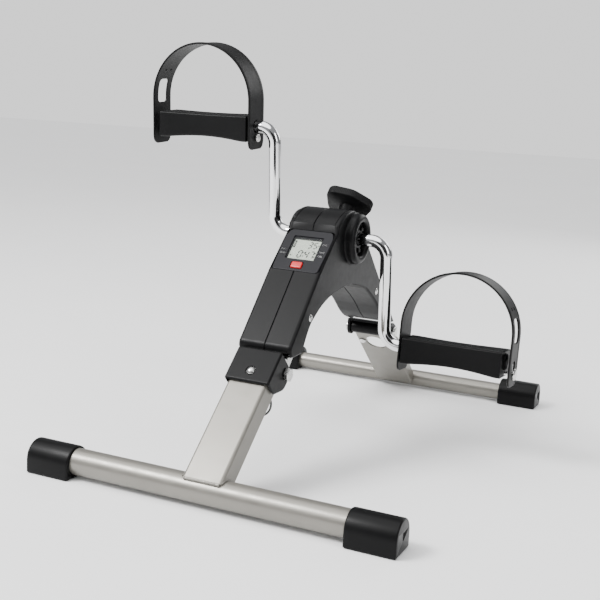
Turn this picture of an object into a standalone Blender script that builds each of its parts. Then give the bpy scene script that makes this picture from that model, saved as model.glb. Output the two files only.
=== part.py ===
"""Folding pedal exerciser, modelled in Blender as separate named sub-parts.

Frame: origin on the floor, midway between the two feet.  +X is the user's right,
-Y is the user's side (front foot), +Y is the far side (rear foot), +Z is up.
All driving dimensions below are in millimetres; meshes are made in metres.
"""
import math

import bmesh
import bpy
from mathutils import Matrix, Vector

MM = 0.001
GAP = 0.3                     # clearance kept between neighbouring solids

# feet and legs
FOOT_Y = 252.15               # distance of each foot tube from the middle
FOOT_HALF = 184.0             # half the width over the caps
FRONT_TUBE_R = 12.7
FRONT_TUBE_Z = 15.0
REAR_TUBE_R = 10.0
REAR_TUBE_Z = 11.7
TUBE_WALL = 1.5
CAP_LENGTH = 46.5
CAP_WIDTH = 33.3
FRONT_CAP_HEIGHT = 29.7
REAR_CAP_HEIGHT = 29.0
CAP_END_WALL = 4.0
LEG_ANGLE = 42.0              # slope of the front leg, degrees
LEG_HALF_W = 19.8
LEG_FRONT = 15.0              # front face of the leg, across the leg's line
LEG_BACK = -8.5
LEG_TOP = 142.5
FRONT_PIVOT = (135.5, -5.0)   # fold axis: along and across the leg's line
LOCK_PIN_S = 119.0
LOCK_PIN_R = 4.6
REAR_PIVOT = (141.0, 93.0)    # fold axis of the rear leg: y, z
REAR_ANGLE = -39.6
REAR_HALF_W = 24.0
BARREL_R = 7.2
EAR_R = 9.5

# housing
HALF_W = 28.0
WALL = 2.2
EDGE_R = 3.2

# crank
AXLE_Y = -6.3
AXLE_Z = 218.6
CRANK_LENGTH = 109.8
CRANK_TILT = 6.3              # degrees off vertical at rest
ARM_X = 64.5                  # centre line of the upright arms
ROD_R = 6.5
BEND_R = 17.0
DRUM_R = 14.0
BOSS_R = 26.5
ANCHOR = (-19.3, 204.6)       # pin that holds the friction band: y, z

# pedals: distances along X from the middle, and heights from the pedal's axle
PEDAL_TOP = 11.5
PEDAL_BOTTOM = -15.5
PEDAL_HALF_DEPTH = 18.0
PEDAL_WAIST = 2.6
STRAP_T = 2.2
STRAP_HALF_W = 17.0
STRAP_IN = 86.0
STRAP_OUT = 204.5
STRAP_SPRING_Z = 26.0
RIGHT_PEDAL_TILT = -5.0
LEFT_PEDAL_TILT = 4.0

# console
CONSOLE_ANGLE = 42.1
CONSOLE_CENTRE = (-71.8, 210.1)
CONSOLE_W = 52.0
CONSOLE_H = 54.0

# tension knob
KNOB_ANGLE = -45.0
KNOB_OFFSET = 12.0            # the screw's line passes this far behind the axle
KNOB_UNDERSIDE = 50.0         # from the axle to the knob's underside, along the screw


# ---------------------------------------------------------------- materials
def material(name, rgb, roughness, metallic=0.0):
    mat = bpy.data.materials.new(name)
    mat.use_nodes = True
    shader = mat.node_tree.nodes["Principled BSDF"]
    shader.inputs["Base Color"].default_value = (*rgb, 1.0)
    shader.inputs["Roughness"].default_value = roughness
    shader.inputs["Metallic"].default_value = metallic
    mat.diffuse_color = (*rgb, 1.0)
    return mat


# ---------------------------------------------------------------- outlines
def arc(centre, radius, start, end, steps):
    """Points of an arc in a plane, angles in degrees, both ends included."""
    points = []
    for i in range(steps + 1):
        a = math.radians(start + (end - start) * i / steps)
        points.append((centre[0] + radius * math.cos(a), centre[1] + radius * math.sin(a)))
    return points


def rounded(corners, steps=5):
    """Closed outline from (a, b, radius) corners, each rounded by an arc of that radius."""
    points = []
    count = len(corners)
    for i, (a, b, radius) in enumerate(corners):
        here = Vector((a, b))
        if radius <= 0:
            points.append((a, b))
            continue
        back = (Vector(corners[i - 1][:2]) - here).normalized()
        ahead = (Vector(corners[(i + 1) % count][:2]) - here).normalized()
        half = math.acos(max(-1.0, min(1.0, back.dot(ahead)))) / 2
        bisector = (back + ahead).normalized()
        centre = here + bisector * (radius / math.sin(half))
        first = here + back * (radius / math.tan(half)) - centre
        last = here + ahead * (radius / math.tan(half)) - centre
        turn = first.angle_signed(last)
        for k in range(steps + 1):
            angle = -turn * k / steps
            c, s = math.cos(angle), math.sin(angle)
            points.append((centre.x + first.x * c - first.y * s,
                           centre.y + first.x * s + first.y * c))
    return points


def inset(outline, distance):
    """The outline moved inwards by a distance, corner by corner."""
    area = sum(a[0] * b[1] - b[0] * a[1] for a, b in zip(outline, outline[1:] + outline[:1]))
    side = 1.0 if area > 0 else -1.0
    moved = []
    count = len(outline)
    for i in range(count):
        here = Vector(outline[i])
        one = (here - Vector(outline[i - 1])).normalized()
        two = (Vector(outline[(i + 1) % count]) - here).normalized()
        normal = Vector((-one.y - two.y, one.x + two.x)) * side
        normal.normalize()
        spread = max(0.35, abs(normal.dot(Vector((-one.y, one.x)))))
        moved.append(tuple(here + normal * distance / spread))
    return moved


def circle(radius, count, centre=(0.0, 0.0)):
    return [(centre[0] + radius * math.cos(2 * math.pi * i / count),
             centre[1] + radius * math.sin(2 * math.pi * i / count)) for i in range(count)]


# ---------------------------------------------------------------- meshes
def build(name, verts, faces, mat=None, smooth=True):
    """Object from vertices in millimetres, with its faces turned outwards."""
    mesh = bpy.data.meshes.new(name)
    mesh.from_pydata([Vector(v) * MM for v in verts], [], faces)
    bm = bmesh.new()
    bm.from_mesh(mesh)
    bmesh.ops.remove_doubles(bm, verts=bm.verts, dist=1e-6)
    bmesh.ops.recalc_face_normals(bm, faces=bm.faces)
    bm.to_mesh(mesh)
    bm.free()
    if mat is not None:
        mesh.materials.append(mat)
    obj = bpy.data.objects.new(name, mesh)
    bpy.context.scene.collection.objects.link(obj)
    if smooth:
        mesh.shade_smooth()
        mesh.set_sharp_from_angle(angle=math.radians(35))
    return obj


def loft(name, rings, mat=None, closed=False):
    """Skin over rings of equal length; the two ends are capped unless the rings close up."""
    count = len(rings[0])
    verts = [v for ring in rings for v in ring]
    faces = []
    spans = len(rings) if closed else len(rings) - 1
    for r in range(spans):
        base, top = r * count, ((r + 1) % len(rings)) * count
        for i in range(count):
            j = (i + 1) % count
            faces.append((base + i, base + j, top + j, top + i))
    if not closed:
        faces.append(tuple(range(count)))
        faces.append(tuple(range((len(rings) - 1) * count, len(rings) * count)))
    return build(name, verts, faces, mat)


def prism_x(name, outline, lo, hi, mat=None, layers=None):
    """Outline in the YZ plane, extruded along X; layers are (x, inset) pairs."""
    layers = layers or [(lo, 0.0), (hi, 0.0)]
    rings = []
    for x, distance in layers:
        points = inset(outline, distance) if distance else outline
        rings.append([(x, a, b) for a, b in points])
    return loft(name, rings, mat)


def prism_z(name, outline, lo, hi, mat=None, layers=None):
    """Outline in the XY plane, extruded along Z; layers are (z, inset) pairs."""
    layers = layers or [(lo, 0.0), (hi, 0.0)]
    rings = []
    for z, distance in layers:
        points = inset(outline, distance) if distance else outline
        rings.append([(a, b, z) for a, b in points])
    return loft(name, rings, mat)


def box(name, lo, hi, mat=None):
    outline = [(lo[0], lo[1]), (hi[0], lo[1]), (hi[0], hi[1]), (lo[0], hi[1])]
    return prism_z(name, outline, lo[2], hi[2], mat)


def turned(name, profile, mat=None, segments=32, axis="X", centre=(0.0, 0.0, 0.0), solid=False):
    """Body of revolution. The profile lists (radius, position along the axis).

    A closed ring profile makes a body with a bore; a solid one starts and ends on the axis.
    """
    rings = []
    for i in range(segments):
        a = 2 * math.pi * i / segments
        ring = []
        for radius, along in profile:
            u, v = radius * math.cos(a), radius * math.sin(a)
            point = (along, u, v) if axis == "X" else ((v, along, u) if axis == "Y" else (u, v, along))
            ring.append(tuple(p + c for p, c in zip(point, centre)))
        rings.append(ring)
    count = len(profile)
    verts = [v for ring in rings for v in ring]
    faces = []
    for r in range(segments):
        base, top = r * count, ((r + 1) % segments) * count
        for i in range(count if not solid else count - 1):
            j = (i + 1) % count
            corners = [base + i, base + j, top + j, top + i]
            if solid and profile[i][0] == 0:
                corners = [base + i, base + j, top + j]
            if solid and profile[j][0] == 0:
                corners = [base + i, base + j, top + i]
            faces.append(tuple(corners))
    return build(name, verts, faces, mat)


def rod(name, radius, lo, hi, mat=None, axis="X", centre=(0.0, 0.0, 0.0), segments=24, chamfer=0.0):
    """Plain round bar between two positions along an axis."""
    profile = [(0, lo), (radius - chamfer, lo), (radius, lo + chamfer),
               (radius, hi - chamfer), (radius - chamfer, hi), (0, hi)]
    if not chamfer:
        profile = [(0, lo), (radius, lo), (radius, hi), (0, hi)]
    return turned(name, profile, mat, segments, axis, centre, solid=True)


def tube(name, outer, inner, lo, hi, mat=None, axis="X", centre=(0.0, 0.0, 0.0), segments=28):
    profile = [(inner, lo), (outer, lo), (outer, hi), (inner, hi)]
    return turned(name, profile, mat, segments, axis, centre)


def swept(name, path, radius, mat=None, segments=14):
    """Round bar along a path that lies in one plane, with flat ends."""
    points = [Vector(p) for p in path]
    side = None
    for a, b, c in zip(points, points[1:], points[2:]):
        cross = (b - a).cross(c - b)
        if cross.length > 1e-6:
            side = cross.normalized()
            break
    rings = []
    for i, point in enumerate(points):
        ahead = points[min(i + 1, len(points) - 1)] - point
        behind = point - points[max(i - 1, 0)]
        tangent = (ahead.normalized() + behind.normalized()).normalized()
        across = tangent.cross(side).normalized()
        ring = []
        for k in range(segments):
            a = 2 * math.pi * k / segments
            ring.append(tuple(point + side * radius * math.cos(a) + across * radius * math.sin(a)))
        rings.append(ring)
    return loft(name, rings, mat)


def combine(obj, other, operation="DIFFERENCE"):
    """Boolean of two objects, applied at once; the second object is removed."""
    modifier = obj.modifiers.new("cut", "BOOLEAN")
    modifier.operation = operation
    modifier.object = other
    bpy.context.view_layer.update()
    evaluated = obj.evaluated_get(bpy.context.evaluated_depsgraph_get())
    result = bpy.data.meshes.new_from_object(evaluated)
    obj.modifiers.remove(modifier)
    obj.data = result
    bpy.data.objects.remove(other, do_unlink=True)
    return obj


# ---------------------------------------------------------------- frames
def along_x(angle, y, z):
    """Frame whose Y axis is turned up by an angle about X, at (0, y, z)."""
    return Matrix.Translation(Vector((0, y, z)) * MM) @ Matrix.Rotation(math.radians(angle), 4, "X")


def to_world(frame, point):
    return frame @ (Vector(point) * MM)


def pivot(name, location, parent=None):
    """Empty on a joint's axis that carries the pieces of one moving body."""
    empty = bpy.data.objects.new(name, None)
    bpy.context.scene.collection.objects.link(empty)
    empty.empty_display_size = 0.02
    empty.matrix_world = Matrix.Translation(location)
    attach(empty, parent, Matrix.Translation(location))
    return empty


def attach(obj, parent, world=None):
    """Parent an object and keep its place in the world."""
    world = world if world is not None else Matrix.Identity(4)
    obj.parent = parent
    if parent is not None:
        bpy.context.view_layer.update()
        obj.matrix_parent_inverse = parent.matrix_world.inverted()
    obj.matrix_basis = world
    bpy.context.view_layer.update()


# ---------------------------------------------------------------- shared outlines
def strip(points, thickness):
    """Outline of a bent strip that follows a centre line."""
    left, right = [], []
    for i, point in enumerate(points):
        here = Vector(point)
        behind = here - Vector(points[i - 1]) if i else Vector(points[1]) - here
        ahead = Vector(points[i + 1]) - here if i + 1 < len(points) else behind
        one, two = behind.normalized(), ahead.normalized()
        normal = Vector((-one.y - two.y, one.x + two.x)).normalized()
        spread = abs(normal.dot(Vector((-one.y, one.x))))
        shift = normal * thickness / 2 / spread
        left.append(tuple(here + shift))
        right.append(tuple(here - shift))
    return left + right[::-1]


def curve(points, steps):
    """Smooth line through points (Catmull-Rom), both ends included."""
    padded = [points[0]] + list(points) + [points[-1]]
    line = []
    for i in range(1, len(padded) - 2):
        p0, p1, p2, p3 = (Vector(p) for p in padded[i - 1:i + 3])
        for k in range(steps):
            t = k / steps
            line.append(tuple(0.5 * (2 * p1 + (p2 - p0) * t + (2 * p0 - 5 * p1 + 4 * p2 - p3) * t * t
                                     + (3 * p1 - p0 - 3 * p2 + p3) * t ** 3)))
    line.append(tuple(points[-1]))
    return line


ARCH_LINE = [(-122.8, 117.4), (-108.4, 139.4), (-97.5, 148.2), (-78.0, 158.4), (-54.2, 165.0),
             (-20.0, 168.9), (0.5, 168.6), (34.6, 160.7), (57.0, 149.5), (80.0, 134.8),
             (100.0, 119.0), (115.7, 109.6), (130.0, 105.2)]


def housing_outline(console_drop=0.0, round_ends=True):
    """Side outline of the housing, from the crown round the back, arch and front to the console."""
    slope = math.radians(CONSOLE_ANGLE)
    drop = Vector((math.sin(slope), -math.cos(slope))) * console_drop
    points = arc((-12.0, 191.7), 56.8, 131.0, 90.0, 7)
    points += arc((-12.0, 226.5), 22.0, 90.0, 45.5, 6)[1:]
    points += [(141.4, 106.8), (142.2, 105.4), (141.3, 104.7)] if round_ends else [(143.4, 104.7)]
    points += curve(ARCH_LINE, 2)[::-1]
    front = rounded([(-118.0, 117.0, 0), (-160.1, 117.0, 8.0), (-94.0, 189.0, 0)], 5)[1:-1]
    points += front if round_ends else [(-157.0, 117.0)]
    points += [(-94.0, 189.0)]
    points += [tuple(Vector((-91.9, 191.4)) + drop), tuple(Vector((-51.4, 227.9)) + drop)]
    return points


def console_frame():
    return along_x(CONSOLE_ANGLE, *CONSOLE_CENTRE)


def leg_frame():
    return along_x(LEG_ANGLE, -FOOT_Y, FRONT_TUBE_Z)


def rear_frame():
    return along_x(REAR_ANGLE, *REAR_PIVOT)


def knob_frame():
    """Z runs out along the knob's screw, from the knob's underside."""
    axis = math.radians(-KNOB_ANGLE)
    normal = Vector((0, math.sin(axis), math.cos(axis)))
    across = Vector((0, -math.cos(axis), math.sin(axis)))
    foot = Vector((0, AXLE_Y, AXLE_Z)) - across * KNOB_OFFSET + normal * KNOB_UNDERSIDE
    return Matrix.Translation(foot * MM) @ Matrix.Rotation(math.radians(KNOB_ANGLE), 4, "X")


def crank_frame(side):
    """Frame at the crank's end of one side: Z along the arm, X outwards."""
    direction = -1.0 if side > 0 else 1.0
    tilt = math.radians(CRANK_TILT)
    y = AXLE_Y - direction * CRANK_LENGTH * math.sin(tilt)
    z = AXLE_Z + direction * CRANK_LENGTH * math.cos(tilt)
    return Vector((side * ARM_X, y, z))


def pedal_frame(side):
    """Frame on the pedal's axle at rest, with the pedal's own tilt and X outwards."""
    end = crank_frame(side)
    tilt = RIGHT_PEDAL_TILT if side > 0 else LEFT_PEDAL_TILT
    return Matrix.Translation(Vector((0, end.y, end.z)) * MM) @ Matrix.Rotation(math.radians(tilt), 4, "X")


def placed(obj, frame):
    """Bake a frame into the mesh, so the object itself stays at the world's origin."""
    obj.data.transform(frame)
    obj.data.update()
    return obj


def mirrored(obj):
    """Turn the mesh over to the other side of the middle plane."""
    bm = bmesh.new()
    bm.from_mesh(obj.data)
    bmesh.ops.scale(bm, vec=(-1, 1, 1), verts=bm.verts)
    bmesh.ops.reverse_faces(bm, faces=bm.faces)
    bm.to_mesh(obj.data)
    bm.free()
    return obj


def sided(obj, side):
    return mirrored(obj) if side < 0 else obj


# ---------------------------------------------------------------- housing
def housing_half(side, mat):
    tag = "right" if side > 0 else "left"
    outline = housing_outline()
    layers = [(GAP / 2, 0.8), (GAP / 2 + 0.8, 0.0), (HALF_W - EDGE_R, 0.0)]
    for a in (30, 60, 90):
        r = math.radians(a)
        layers.append((HALF_W - EDGE_R * (1 - math.sin(r)), EDGE_R * (1 - math.cos(r)) * 0.7))
    half = prism_x("housing_" + tag, outline, 0, 0, mat, layers)
    profile = [(13.0, 26.5), (27.6, 26.5), (27.6, 28.6), (BOSS_R, 30.2), (BOSS_R, 33.0)]
    profile += [(BOSS_R - 5.0 + 5.0 * math.cos(math.radians(a)),
                 33.0 + 5.0 * math.sin(math.radians(a))) for a in (30, 60, 90)]
    profile += [(19.6, 38.0), (18.0, 37.3), (17.2, 35.8), (17.0, 30.0), (13.0, 30.0)]
    boss = turned("boss", profile, None, 32, "X", (0, AXLE_Y, AXLE_Z))
    half = combine(half, boss, "UNION")
    cavity = prism_x("cavity", inset(housing_outline(3.0, False), WALL), -2.0, HALF_W - WALL)
    half = combine(half, cavity)
    holes = [rod("hole", 12.0, 20.0, 31.0, None, "X", (0, AXLE_Y, AXLE_Z), 28)]
    holes.append(prism_z("hole", [(-5, -144.0), (24.0, -144.0), (24.0, -125.6), (-5, -125.6)], 112.0, 121.0))
    holes.append(prism_z("hole", [(-5, 112.0), (22.0, 112.0), (22.0, 139.4), (-5, 139.4)], 98.0, 110.6))
    pocket = rounded([(-30, -27.3, 4), (26.35, -27.3, 4), (26.35, 27.3, 4), (-30, 27.3, 4)], 4)
    holes.append(placed(prism_z("hole", pocket, -3.3, 9.0), console_frame()))
    window = [(-30, -24.6), (22.0, -24.6), (22.0, 22.6), (-30, 22.6)]
    holes.append(placed(prism_z("hole", window, -9.0, 1.0), console_frame()))
    holes.append(placed(rod("hole", 5.2, -34.0, -18.0, None, "Z"), knob_frame()))
    for y, z in ((-107.6, 150.4), (72.2, 151.6)):
        holes.append(rod("hole", 4.0, HALF_W - 1.2, 31.0, None, "X", (0, y, z), 20))
        holes.append(rod("hole", 1.9, 24.0, 31.0, None, "X", (0, y, z), 16))
    for hole in holes:
        half = combine(half, hole)
    return sided(half, side)


def hub_disc(side, mat):
    """Spoked disc that closes the boss round the crank's rod."""
    disc = tube("boss_cover_" + ("right" if side > 0 else "left"), 16.7, 7.3, 30.3, 33.5, mat,
                "X", (0, AXLE_Y, AXLE_Z), 28)
    for i in range(6):
        a = math.radians(60 * i + 18)
        centre = (0, AXLE_Y + 12.4 * math.cos(a), AXLE_Z + 12.4 * math.sin(a))
        disc = combine(disc, rod("hole", 2.4, 32.0, 36.0, None, "X", centre, 8))
    return sided(disc, side)


def crank_bush(side, mat):
    profile = [(6.9, 16.5), (9.0, 16.5), (9.0, 24.0), (11.6, 24.0), (11.6, 29.6), (6.9, 29.6)]
    bush = turned("crank_bush_" + ("right" if side > 0 else "left"), profile, mat, 28, "X",
                  (0, AXLE_Y, AXLE_Z))
    return sided(bush, side)


def bearing_bracket(side, mat):
    """Upright steel cheek that carries the bush, standing beside the spine."""
    outline = [(-26, 174.5), (14, 173.5), (14, 184), (7.6, 208)]
    outline += arc((AXLE_Y, AXLE_Z), 14.0, -20, 200, 12)
    outline += [(-20.5, 208), (-26, 186)]
    cheek = prism_x("bearing_bracket_" + ("right" if side > 0 else "left"), outline, 19.3, 22.3, mat)
    cheek = combine(cheek, rod("hole", 9.3, 10, 30, None, "X", (0, AXLE_Y, AXLE_Z), 28))
    return sided(cheek, side)


def housing_screw(side, where, y, z, mat):
    """Pan-head screw seen on the housing's side."""
    screw = turned("housing_screw_" + ("right" if side > 0 else "left") + "_" + where,
                   [(0, 24.2), (1.6, 24.2), (1.6, 27.1), (3.7, 27.1), (3.7, 28.0), (2.6, 28.8), (0, 29.0)],
                   mat, 18, "X", (0, y, z), solid=True)
    return sided(screw, side)


def spine(mat):
    """Bent steel strip inside the housing that joins the leg brackets and carries the crank."""
    line = [(-134.2, 120.1), (-121.2, 131.9), (-112.5, 145.5), (-101.0, 155.5), (-84.0, 164.5),
            (-58.0, 172.3), (-22.0, 176.4), (3.0, 176.0), (37.5, 168.0), (62.0, 156.8),
            (85.0, 142.0), (106.0, 125.0), (122.0, 113.6), (132.0, 107.2)]
    return prism_x("frame_spine", strip(line, 2.5), -18.7, 18.7, mat)


# ---------------------------------------------------------------- hinges
def front_bracket(mat):
    """Steel U round the top of the front leg; its web steps back into the housing."""
    frame = leg_frame()
    web_line = [(111.0, 16.05), (140.2, 16.05), (147.8, -0.15), (158.5, 2.4), (171.0, 2.4)]
    web = prism_x("front_hinge_bracket", strip(web_line, 1.5), -21.6, 21.6, mat)
    cheek = [(112.0, 15.8), (140.2, 15.8), (147.8, 0.0), (158.5, 2.2), (171.0, 2.2), (171.0, -4.6),
             (160.5, -7.2), (146.0, -8.5), (136.0, -13.0), (128.0, -11.0), (113.0, 0.0)]
    for side in (-1, 1):
        lo, hi = sorted((side * 20.1, side * 21.6))
        web = combine(web, prism_x("cheek", cheek, lo, hi), "UNION")
    web = combine(web, rod("hole", 5.0, 10.0, 21.0, None, "Z", (0, LOCK_PIN_S, 0)))
    web = combine(web, rod("hole", 3.9, -30, 30, None, "X", (0, *FRONT_PIVOT)))
    return placed(web, frame)


def front_cover(mat):
    """Moulded cover over the bracket."""
    frame = leg_frame()
    cheek = rounded([(144.6, 18.6, 2.4), (146.2, -15.8, 10.5), (124.0, -15.8, 12.0), (107.5, 0.0, 10.0),
                     (106.5, 18.6, 2.4)], 5)
    layers = [(-23.3, 2.0), (-22.9, 1.0), (-22.0, 0.2), (-21.2, 0.0),
              (21.2, 0.0), (22.0, 0.2), (22.9, 1.0), (23.3, 2.0)]
    cover = prism_x("front_hinge_cover", cheek, 0, 0, mat, layers)
    inner = [(100.0, 17.1), (160.0, 17.1), (160.0, -30.0), (100.0, -30.0)]
    cover = combine(cover, prism_x("hole", inner, -21.9, 21.9))
    cover = combine(cover, rod("hole", 5.0, 10.0, 21.0, None, "Z", (0, LOCK_PIN_S, 0)))
    cover = combine(cover, rod("hole", 3.9, -30, 30, None, "X", (0, *FRONT_PIVOT)))
    return placed(cover, frame)


def front_bolt(mat):
    profile = [(0, -26.6), (4.4, -26.6), (6.2, -25.6), (6.2, -23.6), (3.6, -23.6), (3.6, 24.6), (0, 24.6)]
    bolt = turned("front_pivot_bolt", profile, mat, 24, "X", (0, *FRONT_PIVOT), solid=True)
    return placed(bolt, leg_frame())


def front_nut(mat):
    hexagon = circle(7.0, 6, FRONT_PIVOT)
    nut = prism_x("front_pivot_nut", hexagon, 0, 0, mat, [(23.6, 0.6), (24.2, 0), (27.6, 0), (28.2, 0.6)])
    bore = rod("hole", 3.9, 20.0, 26.0, None, "X", (0, *FRONT_PIVOT), 16)
    return placed(combine(nut, bore), leg_frame())


def rear_bracket(mat):
    """Black cheeks on each side of the rear leg's barrel, joined by a plate under the housing."""
    y0, z0 = REAR_PIVOT
    bracket = prism_x("rear_hinge_bracket", [(132.4, 101.4), (140.4, 101.4), (140.4, 103.4), (132.4, 103.4)],
                      -27.0, 27.0, mat)
    for side in (-1, 1):
        lo, hi = sorted((side * 24.6, side * 27.8))
        ear = arc(REAR_PIVOT, EAR_R, -185, 10, 13) + [(148.0, 99.5), (141.0, 103.4), (132.4, 103.4)]
        bracket = combine(bracket, prism_x("ear", ear, lo, hi), "UNION")
    bracket = combine(bracket, rod("hole", 3.9, -40, 40, None, "X", (0, y0, z0), 20))
    return bracket


def rear_bolt(mat):
    profile = [(0, -31.6), (4.8, -31.6), (6.4, -30.4), (6.4, -28.1), (3.6, -28.1), (3.6, 28.1),
               (6.4, 28.1), (6.4, 30.4), (4.8, 31.6), (0, 31.6)]
    return turned("rear_pivot_bolt", profile, mat, 24, "X", (0, *REAR_PIVOT), solid=True)


# ---------------------------------------------------------------- console
def console_parts(bezel_mat, lcd_mat, clear_mat, board_mat, cell_mat, sensor_mat):
    frame = console_frame()
    half_w, half_h = CONSOLE_W / 2, CONSOLE_H / 2
    plate = rounded([(-half_w + 1.2, -half_h, 3), (half_w - 1.2, -half_h, 3), (half_w, 4.0, 3),
                     (half_w, 18.0, 5), (half_w - 3.0, half_h, 5), (-half_w + 3.0, half_h, 5),
                     (-half_w, 18.0, 5), (-half_w, 4.0, 3)], 4)
    bezel = prism_z("console_bezel", plate, 0, 0, bezel_mat, [(-3.0, 0), (-0.7, 0), (0.0, 0.7)])
    screen = rounded([(-15.5, -11.0, 2), (15.5, -11.0, 2), (15.5, 17.2, 2), (-15.5, 17.2, 2)], 4)
    bezel = combine(bezel, prism_z("hole", screen, -5, 5))
    recess = rounded([(-6.9, -24.2, 1.5), (6.9, -24.2, 1.5), (6.9, -15.0, 1.5), (-6.9, -15.0, 1.5)], 3)
    bezel = combine(bezel, prism_z("hole", recess, -1.0, 5))
    key_hole = rounded([(-6.1, -23.7, 1.5), (6.1, -23.7, 1.5), (6.1, -15.5, 1.5), (-6.1, -15.5, 1.5)], 3)
    bezel = combine(bezel, prism_z("hole", key_hole, -5, 5))
    window = prism_z("lcd_window", inset(screen, GAP), -1.8, -0.6, clear_mat)
    panel = prism_z("lcd_panel", inset(screen, GAP), -4.6, -2.4, lcd_mat)
    board = box("circuit_board", (-20.5, -21.5, -9.4), (20.5, 21.0, -7.8), board_mat)
    cell = rod("battery", 5.2, -22.0, 22.0, cell_mat, "X", (0, 6.0, -18.0), 20, 0.6)
    parts = [placed(p, frame) for p in (bezel, window, panel, board, cell)]
    parts.append(box("reed_sensor", (9.5, -27.0, 216.0), (13.0, -18.8, 221.0), sensor_mat))
    return parts


def mode_button(mat):
    outline = rounded([(-5.8, -23.4, 1.4), (5.8, -23.4, 1.4), (5.8, -15.8, 1.4), (-5.8, -15.8, 1.4)], 3)
    layers = [(-6.6, 0), (0.6, 0), (1.1, 0.3), (1.3, 0.9)]
    return placed(prism_z("mode_button", outline, 0, 0, mat, layers), console_frame())


# ---------------------------------------------------------------- resistance
def friction_band(mat):
    """Steel band round the drum; its front end is folded out over the anchor pin."""
    inner, outer = DRUM_R + GAP, DRUM_R + GAP + 1.2
    centre = (AXLE_Y, AXLE_Z)
    line = arc(centre, (inner + outer) / 2, -70, 195, 22) + arc(ANCHOR, 3.2, 180, 350, 5)
    return prism_x("friction_band", strip(line, outer - inner), -7.0, 7.0, mat)


def anchor_pin(mat):
    return rod("band_anchor_pin", 2.2, -19.0, 19.0, mat, "X", (0, *ANCHOR), 16)


def tension_parts(knob_mat, screw_mat):
    frame = knob_frame()
    corners = [(19.3 * math.cos(math.radians(a)), 19.3 * math.sin(math.radians(a))) for a in (115.5, -4.5, -124.5)]
    outline = []
    for i, a in enumerate((115.5, -4.5, -124.5)):
        outline += arc(corners[i], 9.0, a + 44.0, a - 44.0, 7)
        nxt = a - 60.0
        outline += [(22.6 * math.cos(math.radians(nxt + d)), 22.6 * math.sin(math.radians(nxt + d)))
                    for d in (12.0, 0.0, -12.0)]
    layers = [(0.0, 0.8), (0.8, 0.0), (8.6, 0.0), (9.9, 0.7), (10.6, 2.2), (10.9, 4.5)]
    knob = prism_z("tension_knob", outline, 0, 0, knob_mat, layers)
    stem = turned("stem", [(0, -25.8), (6.4, -25.8), (7.4, -24.5), (8.4, 0.5), (0, 0.5)], None, 24, "Z", solid=True)
    knob = combine(knob, stem, "UNION")
    knob = combine(knob, rod("hole", 3.3, -30.0, 4.0, None, "Z", segments=18))
    screw = rod("tension_screw", 3.0, -36.2, 3.6, screw_mat, "Z", segments=18, chamfer=0.5)
    nut = box("tension_nut", (-8.0, -4.6, -35.2), (8.0, 4.6, -32.2), screw_mat)
    nut = combine(nut, rod("hole", 3.3, -40, -30, None, "Z", segments=18))
    return [placed(p, frame) for p in (knob, screw, nut)]


def drum(mat):
    profile = [(6.8, -9.0), (DRUM_R, -9.0), (DRUM_R, 9.0), (6.8, 9.0)]
    return turned("friction_drum", profile, mat, 36, "X", (0, AXLE_Y, AXLE_Z))


def magnet(mat):
    return rod("sensor_magnet", 1.9, 9.3, 11.3, mat, "X", (0, AXLE_Y, AXLE_Z - 9.6), 14)


# ---------------------------------------------------------------- crank and pedals
def crank_arm(side, mat):
    """One bent bar: half the axle, the upright arm, and the pedal's axle."""
    end = crank_frame(side)
    start = Vector((side * 0.3, AXLE_Y, AXLE_Z))
    lower = Vector((side * ARM_X, AXLE_Y, AXLE_Z))
    down = (end - lower).normalized()
    out = Vector((side, 0, 0))
    path = [start]
    for i in range(9):
        a = math.radians(11.25 * i)
        path.append(lower - out * BEND_R + down * BEND_R + out * BEND_R * math.sin(a)
                    - down * BEND_R * math.cos(a))
    for i in range(9):
        a = math.radians(11.25 * i)
        path.append(end + out * BEND_R - down * BEND_R - out * BEND_R * math.cos(a)
                    + down * BEND_R * math.sin(a))
    path.append(Vector((side * 187.5, end.y, end.z)))
    return swept("crank_arm_" + ("right" if side > 0 else "left"), path, ROD_R, mat, 18)


def tread_section(scale, lift=0.0):
    """Cross-section of the pedal: grooved treads on both faces, rounded front and back edges."""
    grooves = 7
    half = PEDAL_HALF_DEPTH - PEDAL_WAIST * scale
    span = half - 3.0
    pitch = 2 * span / grooves
    top = []
    for i in range(grooves):
        left = -span + pitch * i
        top += [(left + pitch * 0.2, 0.0), (left + pitch * 0.3, -1.4), (left + pitch * 0.7, -1.4),
                (left + pitch * 0.8, 0.0)]
    z1, z0 = PEDAL_TOP - 0.6 * scale, PEDAL_BOTTOM + 0.8 * scale
    outline = [(a, z1 + b) for a, b in top]
    outline += [(span + 0.8, z1), (half - 0.9, z1 - 0.7), (half, z1 - 2.4), (half, z0 + 3.4),
                (half - 1.2, z0 + 1.0), (span + 0.6, z0)]
    outline += [(-a, z0 - b) for a, b in top]
    outline += [(-span - 0.8, z0), (-half + 1.2, z0 + 1.0), (-half, z0 + 3.4), (-half, z1 - 2.4),
                (-half + 0.9, z1 - 0.7), (-span - 0.6, z1)]
    return outline


def pedal_body(side, mat):
    stations = [(90.0, 0.0), (97.0, 0.0), (108.0, 0.45), (122.0, 0.85), (143.0, 1.0),
                (164.0, 0.85), (178.0, 0.45), (188.0, 0.0), (195.0, 0.0)]
    rings = [[(x, a, b) for a, b in tread_section(scale)] for x, scale in stations]
    body = loft("pedal_body_" + ("right" if side > 0 else "left"), rings, mat)
    body = combine(body, rod("hole", ROD_R + GAP, 80.0, 210.0, None, "X", segments=24))
    body = combine(body, rod("hole", 9.0, 188.0, 210.0, None, "X", segments=24))
    return placed(sided(body, side), pedal_frame(side))


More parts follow.
